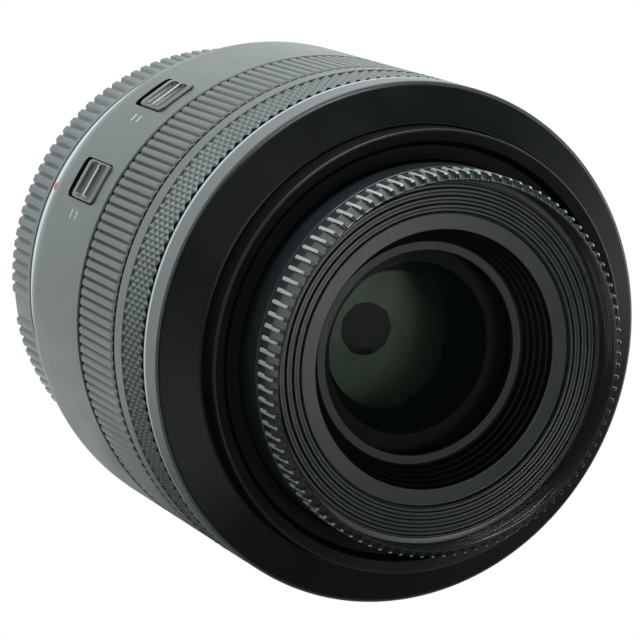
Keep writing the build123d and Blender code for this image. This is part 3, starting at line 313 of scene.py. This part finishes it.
def rounded_block(length, width, depth, corner, edge=0.0):
    """bmesh of a block whose corners are round seen from X: length along Z, width along Y, depth along X."""
    bm = bmesh.new()
    outline = []
    for sy, sz, first in ((1, 1, 0), (-1, 1, 90), (-1, -1, 180), (1, -1, 270)):
        y, z = sy * (width / 2 - corner), sz * (length / 2 - corner)
        for k in range(7):
            a = radians(first + 15 * k)
            outline.append(bm.verts.new((0, y + corner * cos(a), z + corner * sin(a))))
    made = bmesh.ops.extrude_face_region(bm, geom=[bm.faces.new(outline)])
    top = [v for v in made["geom"] if isinstance(v, bmesh.types.BMVert)]
    bmesh.ops.translate(bm, vec=(depth, 0, 0), verts=top)
    bmesh.ops.recalc_face_normals(bm, faces=bm.faces)
    if edge:
        rim = [e for e in bm.edges if all(abs(v.co.x - depth) < 1e-6 for v in e.verts)]
        bmesh.ops.bevel(bm, geom=rim, offset=edge, segments=3, profile=0.5, affect="EDGES")
    return bm


def cutter(bm):
    """Object that cut() takes out of a piece."""
    bmesh.ops.scale(bm, vec=(MM, MM, MM), verts=bm.verts)
    mesh = bpy.data.meshes.new("cutter")
    bm.to_mesh(mesh)
    bm.free()
    made = bpy.data.objects.new("cutter", mesh)
    bpy.context.scene.collection.objects.link(made)
    return made


def cut(piece, cutters):
    """Cuts closed shapes out of a piece and removes them."""
    for made in cutters:
        modifier = piece.modifiers.new("cut", "BOOLEAN")
        modifier.operation = "DIFFERENCE"
        modifier.solver = "EXACT"
        modifier.object = made
    bpy.context.view_layer.update()
    graph = bpy.context.evaluated_depsgraph_get()
    mesh = bpy.data.meshes.new_from_object(piece.evaluated_get(graph))
    piece.modifiers.clear()
    piece.data = mesh
    mesh.set_sharp_from_angle(angle=radians(38))
    for made in cutters:
        bpy.data.objects.remove(made)


# Baked paint with a fine tooth: mid grey, its highlights soft and even.
baked_paint = finish("baked_paint", "#525B5B", 0.4, grain=0.14, depth=0.006, Specular_IOR_Level=0.5)
flare = []
for a in range(-40, 1, 4):
    across, along = FLARE_RADIUS * cos(radians(a)), FLARE_RADIUS * sin(radians(a))
    flare.append((SHELL_RADIUS - FLARE_RADIUS + across, FLARE_END + along))
outside = [(SHELL_RADIUS, 12.0), (SHELL_RADIUS, SHELL_FRONT - 0.25), (SHELL_RADIUS - 0.25, SHELL_FRONT)]
inside = [(34.55, SHELL_FRONT), (34.55, 24.25), (SHELL_BORE, 24.25), (SHELL_BORE, 10.0), (33.45, 10.0),
          (33.45, RING_FRONT)]
barrel = turned("barrel_shell", flare + outside + inside, "barrel", baked_paint, "rear_barrel",
                soft=0.04, columns=360)
windows = []
for azimuth in SWITCHES.values():
    bm = rounded_block(WINDOW_LENGTH, WINDOW_WIDTH, WINDOW_CUT_DEPTH, WINDOW_CORNER)
    place(bm, azimuth, WINDOW_CUT_FROM, WINDOW_Z)
    windows.append(cutter(bm))
cut(barrel, windows)
# Walls of the windows and the front end face: painted shade, in black.
barrel.data.materials.append(black_paint_and_shade)
for face in barrel.data.polygons:
    x, y, z = face.center
    outward = (face.normal.x * x + face.normal.y * y) / hypot(x, y)
    if outward < 0.6 and (z > (SHELL_FRONT - 0.15) * MM or 12.0 * MM < z < 23.5 * MM):
        face.material_index = 1


# Switch knobs: sliders moulded in polycarbonate, one in each window, standing at its front end. Two scooped
# valleys for the finger leave a sharp ridge between them, and a wide foot under the shell closes the window.
KNOB_LENGTH, KNOB_WIDTH, KNOB_DEPTH, KNOB_CORNER = 8.3, 6.2, 2.85, 0.9
KNOB_Z, KNOB_BASE = 18.75, 34.6
FOOT_LENGTH, FOOT_WIDTH, FOOT_DEPTH, FOOT_CORNER = 10.5, 9.0, 0.8, 0.4
FOOT_Z, FOOT_BASE = 18.1, 34.2
VALLEY_RADIUS, VALLEY_LENGTH, VALLEY_END = 1.8, 5.7, 0.7
VALLEY_AXIS, VALLEY_SIDE = 38.55, 1.55
HIGHLIGHT_ROD_RADIUS, HIGHLIGHT_ROD_LENGTH = 0.22, 5.0


def crosswise_rod(radius, length, segments, end=0.0):
    """bmesh of a round rod that lies along Y, with ends rounded by that size."""
    bm = bmesh.new()
    bmesh.ops.create_cone(bm, cap_ends=True, segments=segments, radius1=radius, radius2=radius, depth=length)
    if end:
        rims = [e for e in bm.edges if e.verts[0].co.z * e.verts[1].co.z > 0]
        bmesh.ops.bevel(bm, geom=rims, offset=end, segments=3, profile=0.5, affect="EDGES")
    bmesh.ops.rotate(bm, cent=(0, 0, 0), matrix=Matrix.Rotation(radians(90), 3, "X"), verts=bm.verts)
    return bm


# Polycarbonate is a little glossier than the paint round it. A thin near-white rod along the ridge is a
# painted highlight.
moulded_polycarbonate = finish("moulded_polycarbonate", "#454D4D", 0.33, grain=0.12, depth=0.004,
                               Specular_IOR_Level=0.5)
ridge_painted_highlight = finish("ridge_painted_highlight", "#D0D6D6", 0.2, grain=0.12, depth=0.002,
                                Specular_IOR_Level=0.7)
for name, azimuth in SWITCHES.items():
    bm = rounded_block(KNOB_LENGTH, KNOB_WIDTH, KNOB_DEPTH, KNOB_CORNER, edge=0.18)
    place(bm, azimuth, KNOB_BASE, KNOB_Z)
    knob = finish_mesh(f"{name}_knob", bm, name, moulded_polycarbonate, name)
    valleys = []
    for side in (-1, 1):
        bm = crosswise_rod(VALLEY_RADIUS, VALLEY_LENGTH, 48, VALLEY_END)
        place(bm, azimuth, VALLEY_AXIS, KNOB_Z + side * VALLEY_SIDE)
        valleys.append(cutter(bm))
    cut(knob, valleys)
    # A near-white glossy rod on the ridge: painted highlight.
    bm = crosswise_rod(HIGHLIGHT_ROD_RADIUS, HIGHLIGHT_ROD_LENGTH, 16)
    place(bm, azimuth, SHELL_RADIUS + 0.1, KNOB_Z)
    finish_mesh(f"{name}_ridge", bm, name, ridge_painted_highlight)
    # The foot under the window is painted black, as painted shade in the window's gap.
    bm = rounded_block(FOOT_LENGTH, FOOT_WIDTH, FOOT_DEPTH, FOOT_CORNER)
    place(bm, azimuth, FOOT_BASE, FOOT_Z)
    finish_mesh(f"{name}_foot", bm, name, black_paint_and_shade)


# Switch marks: two plain strokes, printed on the shell beside each window, show the knob's two places.
# The ink is white and lies a few hundredths of a millimetre over the paint.
STROKE = (0.06, 1.3, 0.3)
STROKE_OFFSET = 0.95
STROKE_BESIDE = 8.4
printed_ink = finish("printed_white_ink", "#D5DADA", 0.5)
for name, azimuth in SWITCHES.items():
    bm = bmesh.new()
    for offset in (-STROKE_OFFSET, STROKE_OFFSET):
        made = bmesh.ops.create_cube(bm, size=1.0)["verts"]
        bmesh.ops.scale(bm, vec=STROKE, verts=made)
        bmesh.ops.translate(bm, vec=(0, 0, offset), verts=made)
    place(bm, azimuth + STROKE_BESIDE, SHELL_RADIUS, WINDOW_Z)
    finish_mesh(name.replace("switch", "marks"), bm, "barrel", printed_ink)


# Focus ring: its cover is moulded in polycarbonate with 166 flat-topped ribs, and turns between dark seams.
# The grooves grow shallow at the rear edge and are open at the front edge.
GRIP_RIBS = 166
GRIP_DEPTH = 0.5
GRIP_REAR, GRIP_FRONT = 27.1, 40.4
GRIP_BORE = 35.63
GRIP_PARTS = (0.0, 0.08, 0.15, 0.24, 0.5, 0.76, 0.85, 0.92)
GRIP_DEEP = (1.0, 0.85, 0.4, 0.08, 0.0, 0.08, 0.4, 0.85)


def grip_section(column, angle):
    deep = GRIP_DEEP[column % len(GRIP_DEEP)]
    rear_edge = [(36.5, GRIP_REAR), (36.95 - 0.28 * deep, GRIP_REAR + 0.2),
                 (SHELL_RADIUS - 0.25 * deep, 27.5)]
    floor = SHELL_RADIUS - GRIP_DEPTH * deep
    front_edge = [(SHELL_RADIUS - 0.14 * deep, 40.25), (SHELL_RADIUS - 0.1 - 0.14 * deep, GRIP_FRONT)]
    inner_side = [(36.2, GRIP_FRONT), (36.2, 40.45), (GRIP_BORE, 40.45), (GRIP_BORE, GRIP_REAR)]
    return rear_edge + [(floor, 28.3), (floor, 39.2)] + front_edge + inner_side


def blacken_ends(piece, low, high):
    """Paints a ring's end faces, below low and above high, black: painted shade in the seams beside it."""
    piece.data.materials.append(black_paint_and_shade)
    for face in piece.data.polygons:
        at_front = face.center.z > high * MM and face.normal.z > 0.6
        at_rear = face.center.z < low * MM and face.normal.z < -0.6
        if at_front or at_rear:
            face.material_index = 1


# Polycarbonate from a textured mould, a shade darker than the painted shell, with soft lines along its ribs.
ring_polycarbonate = finish("textured_polycarbonate", "#4B5353", 0.38, grain=0.12, depth=0.005,
                            Specular_IOR_Level=0.5)
grip = ribbed_ring("focus_grip_ribs", pitch_angles(GRIP_RIBS, GRIP_PARTS), grip_section, "focus_ring",
                   ring_polycarbonate, "focus_grip")
# The ring's end faces are painted black: painted shade in the seams.
blacken_ends(grip, GRIP_REAR + 0.25, GRIP_FRONT - 0.05)


# Control ring: moulded in polycarbonate, smooth at the rear, with a lattice of four-sided points over its
# front part. Two sets of crossing grooves, 150 to the turn, leave the points.
KNURL_GROOVES = 150
KNURL_ROWS = 8
KNURL_REAR, KNURL_FRONT = 43.95, 51.0
KNURL_TOP, KNURL_BOTTOM = 37.28, 36.8
CONTROL_REAR, CONTROL_FRONT, CONTROL_BORE = 40.75, 51.45, 34.65


def knurl_section(column, angle):
    lattice = []
    for j in range(KNURL_ROWS + 1):
        radius = KNURL_TOP if (column + j) % 2 else KNURL_BOTTOM
        lattice.append((radius, KNURL_REAR + (KNURL_FRONT - KNURL_REAR) * j / KNURL_ROWS))
    front_side = [(36.4, 51.05), (36.2, CONTROL_FRONT), (CONTROL_BORE, CONTROL_FRONT)]
    rear_side = [(CONTROL_BORE, CONTROL_REAR), (36.2, CONTROL_REAR), (36.2, 41.1), (SHELL_RADIUS - 0.1, 41.1)]
    return lattice + front_side + rear_side + [(SHELL_RADIUS, 41.2), (SHELL_RADIUS, 43.85)]


# The points of the knurl get a paler copy of the polycarbonate than the smooth part: painted sheen on
# the facets, so that each facet keeps its own tone.
knurl_painted_sheen = finish("knurl_painted_sheen", "#707A78", 0.38, grain=0.12, depth=0.003,
                               Specular_IOR_Level=0.5)
knurl = ribbed_ring("control_ring_knurl", [pi * i / KNURL_GROOVES for i in range(2 * KNURL_GROOVES)],
                    knurl_section, "control_ring", ring_polycarbonate, "control_ring",
                    crossed=KNURL_ROWS + 1, sharp=20.0)
# The end faces of the control ring are painted black: painted shade in the seams.
blacken_ends(knurl, 41.15, KNURL_FRONT + 0.01)
# The knurl's points get the paler copy: painted sheen.
knurl.data.materials.append(knurl_painted_sheen)
for face in knurl.data.polygons:
    if len(face.vertices) == 3:
        face.material_index = 2


# Front band: a bright turned ring lies against the control ring, then a painted aluminium band with a
# chamfer towards the front. Both are pressed on the bezel.
BAND_REAR, BAND_FRONT = 52.75, 56.5
BAND_BORE = 35.5
LINE_REAR = 52.1

# Aluminium, turned bright, its pale colour also a painted highlight on the band's rear edge: one thin, clear
# line of light.
bright_trim_and_highlight = finish("turned_aluminium_and_highlight", "#A9B2B8", 0.3, grain=0.1, depth=0.003, Metallic=0.5)
turned("bright_line", [(BAND_BORE, LINE_REAR), (SHELL_RADIUS, LINE_REAR), (SHELL_RADIUS, BAND_REAR),
       (BAND_BORE, BAND_REAR)], "barrel", bright_trim_and_highlight, "front_trim_ring", soft=0.08,
       columns=360)
turned("front_band", [(BAND_BORE, BAND_REAR), (SHELL_RADIUS, BAND_REAR), (SHELL_RADIUS, BAND_FRONT - 0.2),
       (SHELL_RADIUS - 0.2, BAND_FRONT), (BAND_BORE, BAND_FRONT)], "barrel", baked_paint, "front_shell",
       soft=0.06, columns=360)


# Bezel: moulded in glass-filled nylon and fixed over the end of the guide tube. Its shallow cone rises to a
# collar, which guides the inner barrel and has a wide inner chamfer. The collar's outside is matt and painted
# near black, as painted shade.
CONE_FOOT, CONE_TOP = (36.65, 56.85), (32.1, 59.5)
COLLAR_RADIUS, COLLAR_FOOT, COLLAR_FRONT = 31.4, 59.7, 62.6
COLLAR_BORE, BEZEL_BORE = 29.0, 27.8

# Black nylon with a fine grain and a low sheen on the cone. The collar's side gets a darker, duller copy of
# it: painted shade.
black_nylon = finish("glass_filled_nylon", "#111617", 0.36, grain=0.18, depth=0.004, Specular_IOR_Level=0.4)
collar_painted_shade = finish("collar_painted_shade", "#040505", 0.6, grain=0.18, depth=0.004, Specular_IOR_Level=0.1)
seat = [(34.55, 51.85), (35.45, 51.85), (35.45, BAND_FRONT), (36.95, BAND_FRONT)]
gutter = [(31.75, 59.62), (31.5, 59.45)]
collar = [(COLLAR_RADIUS, COLLAR_FOOT), (COLLAR_RADIUS, COLLAR_FRONT), (31.2, 62.8), (29.6, 62.2),
          (COLLAR_BORE, 61.6), (COLLAR_BORE, COLLAR_FOOT), (BEZEL_BORE, COLLAR_FOOT)]
underside = [(BEZEL_BORE, 54.05), (34.55, 54.05)]
bezel = turned("bezel", seat + [CONE_FOOT, CONE_TOP] + gutter + collar + underside, "barrel", black_nylon,
               "front_bezel", soft=0.1, columns=360)
bezel.data.materials.append(collar_painted_shade)
# The collar's side gets the darker copy: painted shade.
for face in bezel.data.polygons:
    x, y, z = face.center
    on_collar = (COLLAR_FOOT + 0.05) * MM < z < (COLLAR_FRONT - 0.15) * MM
    if on_collar and hypot(x, y) < (COLLAR_RADIUS + 0.05) * MM:
        face.material_index = 1


# Wiper: a ring of wool felt glued into the collar, which keeps dust out of the gap round the inner barrel. It
# keeps its CAD mesh, and its deep grain takes all gloss away.
def repaint(names, material):
    """Gives CAD nodes that stay as they are a material of their own."""
    for name in names:
        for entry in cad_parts[name].material_slots:
            entry.link = "OBJECT"
            entry.material = material


wool_felt = finish("wool_felt", "#0C0D0D", 0.9, grain=0.15, depth=0.03)
repaint(["barrel_seal"], wool_felt)


# Inner barrel: a thin drawn aluminium tube that slides out with the focus. It is anodised black, with a long
# soft highlight down its side.
TUBE_BORE, TUBE_RADIUS = 26.2, 26.8
TUBE_REAR, TUBE_FRONT = 47.6, 66.5
black_anodised = finish("black_anodised_tube", "#242C2E", 0.34, grain=0.2, depth=0.004,
                        Specular_IOR_Level=0.5)
turned("inner_tube", [(TUBE_BORE, TUBE_REAR), (TUBE_RADIUS, TUBE_REAR), (TUBE_RADIUS, TUBE_FRONT - 0.2),
       (TUBE_RADIUS - 0.2, TUBE_FRONT), (TUBE_BORE, TUBE_FRONT)], "focus_unit", black_anodised,
       "inner_barrel", soft=0.1, columns=360)


# Front ring: black anodised aluminium, fixed in the end of the tube, with 100 thin ribs milled on its rim
# over a chamfer. Inside is the fine filter thread, cut as a true spiral.
TOOTH_COUNT = 100
TOOTH_PARTS = (0.0, 0.13, 0.18, 0.42, 0.82, 0.87)
TOOTH_HIGH = (1.0, 0.95, 0.0, 0.0, 0.0, 0.95)
THREAD_PITCH, THREAD_LENGTH, THREAD_CREST, THREAD_DEPTH = 0.75, 3.6, 25.6, 0.26
THREAD_ROWS = 40
THREAD_FRONT = 71.4

# Height along the rim, the radius there between the ribs, and the radius of a rib's top.
RIM = ((66.5, 26.5, 26.5), (66.6, 26.58, 26.58), (66.9, 26.58, 26.62), (67.0, 26.58, TUBE_RADIUS),
       (68.8, 26.58, TUBE_RADIUS), (68.9, 26.52, TUBE_RADIUS), (71.0, 25.95, TUBE_RADIUS),
       (71.3, 25.9, 26.55), (71.5, 25.88, 25.95), (71.6, 25.82, 25.85))


def front_ring_section(column, angle):
    high = TOOTH_HIGH[column % len(TOOTH_HIGH)]
    outer_side = [(low + (top - low) * high, z) for z, low, top in RIM]
    thread = []
    for j in range(THREAD_ROWS + 1):
        down = THREAD_LENGTH * j / THREAD_ROWS
        turn = (down / THREAD_PITCH - angle / (2 * pi)) % 1.0
        ends = min(1.0, 2.5 * min(down, THREAD_LENGTH - down))
        groove = max(0.0, 1.3 * (1 - abs(2 * turn - 1)) - 0.3)
        thread.append((THREAD_CREST + THREAD_DEPTH * ends * groove, THREAD_FRONT - down))
    seat = [(24.9, 67.7), (24.9, 66.8), (23.85, 66.8), (23.85, 63.6), (26.15, 63.6), (26.15, TUBE_FRONT)]
    return outer_side + thread + seat


# Anodised metal is dark and fairly glossy. The ribs' tops get a pale grey copy of it: a painted highlight.
glossy_anodised = finish("glossy_black_anodised", "#2B3030", 0.3, grain=0.15, depth=0.004,
                         Specular_IOR_Level=0.75)
rib_top_painted_highlight = finish("rib_top_painted_highlight", "#B4BABA", 0.34, grain=0.15, depth=0.004,
                          Specular_IOR_Level=0.6)
front_ring = ribbed_ring("front_ring_ribs", pitch_angles(TOOTH_COUNT, TOOTH_PARTS), front_ring_section,
                         "focus_unit", glossy_anodised, "filter_ring", sharp=25.0)
# The tops of the ribs get the pale copy: painted highlight.
front_ring.data.materials.append(rib_top_painted_highlight)
for face in front_ring.data.polygons:
    x, y, z = face.center
    if hypot(x, y) > (26.65 * MM if z < 70.0 * MM else 26.5 * MM):
        face.material_index = 1


# Front plate: aluminium, turned, painted black and pressed in behind the thread. Four ring grooves break up
# reflections on its face, and a stepped funnel leads down to the front glass.
PLATE_FRONT, PLATE_REAR, PLATE_RADIUS = 67.7, 66.8, 24.85
GROOVE_RADII = (24.3, 23.2, 22.1, 21.0)
GROOVE_DEPTH = 0.45
FUNNEL_RADIUS, FUNNEL_FRONT = 18.2, 66.9
FUNNEL_STEPS, FUNNEL_STEP_IN, FUNNEL_STEP_DOWN = 5, 0.48, 0.96
FUNNEL_END = 62.1

# The paint of the face has a low sheen. The funnel is blacker and duller, and swallows the light: it is black
# light-trap paint, and painted shade deep in the funnel.
sheen_paint = finish("low_sheen_paint", "#2A3235", 0.3, grain=0.2, depth=0.004, Specular_IOR_Level=0.5)
light_trap_and_painted_shade = finish("light_trap_and_painted_shade", "#050606", 0.5, grain=0.2, depth=0.004,
                          Specular_IOR_Level=0.3)
outline = [(PLATE_RADIUS, PLATE_REAR), (PLATE_RADIUS, PLATE_FRONT)]
for radius in GROOVE_RADII:
    bottom = PLATE_FRONT - GROOVE_DEPTH
    outline += [(radius + 0.34, PLATE_FRONT), (radius + 0.2, bottom), (radius - 0.2, bottom),
                (radius - 0.34, PLATE_FRONT)]
outline += [(20.55, PLATE_FRONT), (20.45, FUNNEL_FRONT), (FUNNEL_RADIUS, FUNNEL_FRONT)]
for step in range(FUNNEL_STEPS):
    radius = FUNNEL_RADIUS - FUNNEL_STEP_IN * step
    z = FUNNEL_FRONT - FUNNEL_STEP_DOWN * step
    if step:
        outline.append((radius, z))
    outline += [(radius - 0.34, z - 0.72), (radius - 0.22, z - 0.8), (radius - 0.4, z - 0.9)]
outline += [(15.8, FUNNEL_END), (16.4, FUNNEL_END), (19.2, 65.9), (23.65, 65.9), (23.65, PLATE_REAR)]
plate = turned("front_plate_grooved", outline, "focus_unit", sheen_paint, "front_plate",
               soft=0.08, columns=360)
plate.data.materials.append(light_trap_and_painted_shade)
for face in plate.data.polygons:
    x, y, z = face.center
    if hypot(x, y) < (FUNNEL_RADIUS - 0.01) * MM and z < (FUNNEL_FRONT - 0.005) * MM:
        face.material_index = 1


# Retaining ring: aluminium, turned and blackened, and screwed into the cell, where it holds the first glass.
# It shows as a dull grey ring at the bottom of the funnel.
RETAINER_BORE, RETAINER_RADIUS = 14.5, 15.75
RETAINER_REAR = 61.2
blackened_aluminium = finish("blackened_aluminium", "#242A2D", 0.38, grain=0.12, depth=0.003,
                             Specular_IOR_Level=0.35)
turned("retainer", [(RETAINER_BORE, RETAINER_REAR), (RETAINER_RADIUS, RETAINER_REAR),
       (RETAINER_RADIUS, FUNNEL_END), (RETAINER_BORE + 0.05, FUNNEL_END), (RETAINER_BORE, FUNNEL_END - 0.1)],
       "focus_unit", blackened_aluminium, "retaining_ring", soft=0.05)


# Glass: elements ground and coated against reflections, so clear that the iris shows through. The third group
# is two elements cemented into one, and is turned here as a single body; the others keep their CAD meshes.
GROUP_RADIUS = 12.6
GROUP_REAR, GROUP_REAR_SAG = 50.58, 0.7
GROUP_FRONT, GROUP_FRONT_SAG = 54.98, 0.4
FACE_STEPS = 12


def clear_glass(name, tint):
    """Coated glass, which bends what is seen through it and hardly mirrors."""
    made = bpy.data.materials.new(name)
    made.use_nodes = True
    tree = made.node_tree
    tree.nodes.clear()
    bend = add(tree, "ShaderNodeBsdfRefraction", {"Color": linear(tint), "Roughness": 0.0, "IOR": 1.55})
    add(tree, "ShaderNodeOutputMaterial", {"Surface": bend.outputs["BSDF"]})
    return made


# The coating of the first face leaves a thin green veil. Behind the iris the glass is painted near black, as
# painted shade, because the lens is closed by its cap there.
coated_glass = finish("coated_front_glass", "#26352C", 0.05, Alpha=0.1, IOR=1.7, Specular_IOR_Level=0.05)
inner_glass = clear_glass("coated_inner_glass", "#ECF0EB")
glass_painted_shade = finish("painted_shade_behind_iris", "#0A1208", 0.9, Specular_IOR_Level=0.0)
repaint(["glass_group_1"], coated_glass)
repaint([f"glass_group_{i}" for i in (2, 5, 6, 7, 8, 9)], inner_glass)
repaint(["glass_group_4"], glass_painted_shade)
shares = [k / FACE_STEPS for k in range(FACE_STEPS + 1)]
rear_face = [(GROUP_RADIUS * share, GROUP_REAR - GROUP_REAR_SAG * share ** 2) for share in shares]
front_face = [(GROUP_RADIUS * share, GROUP_FRONT - GROUP_FRONT_SAG * share ** 2) for share in shares]
turned("cemented_group", rear_face + front_face[::-1], "focus_unit", inner_glass, "glass_group_3", soft=0,
       columns=180)


# Iris: nine thin blades of spring steel, stamped and satin finished, between a moulded floor and the turning
# ring. Seen through the glass they are a soft green grey.
satin_spring_steel = finish("satin_spring_steel", "#A6ADAA", 0.4, grain=0.3, depth=0.003, Metallic=0.3)
repaint([f"iris_blade_{i}" for i in range(1, 10)], satin_spring_steel)


# Front cell and spacer: aluminium, turned and painted matt black, so that the tunnel between the first
# glasses stays dark. The spacer lies loose in the cell between the glasses.
matt_cell_paint = finish("matt_cell_paint", "#080B08", 0.55, grain=0.2, depth=0.003,
                         Specular_IOR_Level=0.15)
repaint(["glass_spacer", "front_cell"], matt_cell_paint)


# Hidden mouldings: the frames, tubes and covers inside the lens, moulded in nylon. All parts near the light
# path are black and matt, and give the eye no edge.
repaint(["iris_base", "iris_ring", "iris_cover", "lens_frame", "drive_nut", "guide_tube", "focus_ring",
         "ring_sensor", "contact_block", "rear_baffle", "stabiliser_carrier"], black_paint_and_shade)


# Camera mount and its contacts: the bayonet is brass, turned and chromed, held by four screws, and mirrors
# brightly. The contacts are brass under a plating of gold, and shine warm yellow.
chromed_brass = finish("chromed_brass", "#C8CACA", 0.22, grain=0.2, depth=0.003, Metallic=1.0)
gold_plating = finish("gold_plating", "#D8B25C", 0.25, Metallic=1.0)
repaint(["mount_ring"], chromed_brass)
repaint(["contact_pins"], gold_plating)


# Steel parts: screws, shafts, springs, motors, magnets and the stabiliser's plate. They are ground or stamped
# and left bare, with a fine dull gleam.
ground_steel = finish("ground_steel", "#9A9C9E", 0.3, grain=0.2, depth=0.003, Metallic=1.0)
repaint(["mount_screws", "guide_shafts", "click_spring", "focus_motor", "motor_bracket", "lead_screw",
         "iris_motor", "stabiliser_plate", "stabiliser_magnets"], ground_steel)


# Circuit boards: glass-fibre laminate under a green solder mask, which is smooth and has a plain gloss. They
# are screwed down behind the focus unit and under the switches.
solder_mask = finish("solder_mask", "#1F5A38", 0.4)
repaint(["main_board", "switch_boards", "coil_board"], solder_mask)


# Floor: plain white sheet the lens stands on, a tenth of a millimetre under it. It shows white to the camera
# and lights the sides, less from below and from the far left, which stay darker in the photograph.
FLOOR_HALF = 3.0
FLOOR_Z = -0.0108
bm = bmesh.new()
bmesh.ops.create_grid(bm, x_segments=1, y_segments=1, size=FLOOR_HALF)
mesh = bpy.data.meshes.new("floor")
bm.to_mesh(mesh)
bm.free()
floor = bpy.data.objects.new("floor", mesh)
floor.location = (0, 0, FLOOR_Z)
bpy.context.scene.collection.objects.link(floor)

white_sheet = bpy.data.materials.new("white_sheet")
white_sheet.use_nodes = True
tree = white_sheet.node_tree
tree.nodes.clear()
path = add(tree, "ShaderNodeLightPath")
seen = add(tree, "ShaderNodeEmission", {"Color": (1, 1, 1, 1), "Strength": 1.0})
spot = add(tree, "ShaderNodeSeparateXYZ", {"Vector": add(tree, "ShaderNodeTexCoord").outputs["Object"]})
below = add(tree, "ShaderNodeMapRange", {"Value": spot.outputs["Y"], "From Min": -0.06, "From Max": -0.03,
                                         "To Min": 0.15, "To Max": 1.3})
above = add(tree, "ShaderNodeMapRange", {"Value": spot.outputs["Y"], "From Min": -0.03, "From Max": 0.1,
                                         "To Min": 1.0, "To Max": 1.15})
left = add(tree, "ShaderNodeMapRange", {"Value": spot.outputs["X"], "From Min": -0.45, "From Max": -0.08,
                                        "To Min": 0.35, "To Max": 1.0})
sides = add(tree, "ShaderNodeMath", {0: above.outputs["Result"], 1: left.outputs["Result"]},
            operation="MULTIPLY")
glow = add(tree, "ShaderNodeMath", {0: below.outputs["Result"], 1: sides.outputs["Value"]},
           operation="MULTIPLY")
cast = add(tree, "ShaderNodeEmission", {"Color": (0.95, 1, 1, 1), "Strength": glow.outputs["Value"]})
both = add(tree, "ShaderNodeMixShader", {0: path.outputs["Is Camera Ray"], 1: cast.outputs["Emission"],
                                         2: seen.outputs["Emission"]})
add(tree, "ShaderNodeOutputMaterial", {"Surface": both.outputs["Shader"]})
mesh.materials.append(white_sheet)


# Lights: a dim room, a long strip over the top of the picture, a large soft panel low at the left, and two
# small ones in front, which draw the gloss on the front ring, the plate and the bezel.
ROOM_COLOUR = (0.9, 0.95, 1.0, 1.0)
ROOM_STRENGTH = 0.06
BARREL_MIDDLE = (0, 0, 0.04)
FRONT_MIDDLE = (0, 0, 0.067)
world = bpy.data.worlds.new("room")
world.use_nodes = True
bpy.context.scene.world = world
world.node_tree.nodes["Background"].inputs["Color"].default_value = ROOM_COLOUR
world.node_tree.nodes["Background"].inputs["Strength"].default_value = ROOM_STRENGTH


def panel(name, where, size, power, target):
    """Soft lamp of that size in metres and power in watts, turned to its target."""
    light = bpy.data.lights.new(name, "AREA")
    light.shape = "RECTANGLE"
    light.size, light.size_y = size
    light.energy = power
    made = bpy.data.objects.new(name, light)
    made.location = where
    toward = Vector(target) - Vector(where)
    made.rotation_euler = toward.to_track_quat("-Z", "Y").to_euler()
    bpy.context.scene.collection.objects.link(made)


panel("top_panel", (-0.15, 0.8, 0.07), (0.6, 0.16), 4.5, BARREL_MIDDLE)
panel("front_panel", (0.15, -0.02, 0.6), (0.15, 0.15), 0.6, FRONT_MIDDLE)
panel("camera_panel", (-0.12, 0.14, 0.62), (0.2, 0.2), 0.3, FRONT_MIDDLE)
panel("low_panel", (-0.6, -0.5, 0.6), (0.8, 0.8), 1.2, BARREL_MIDDLE)
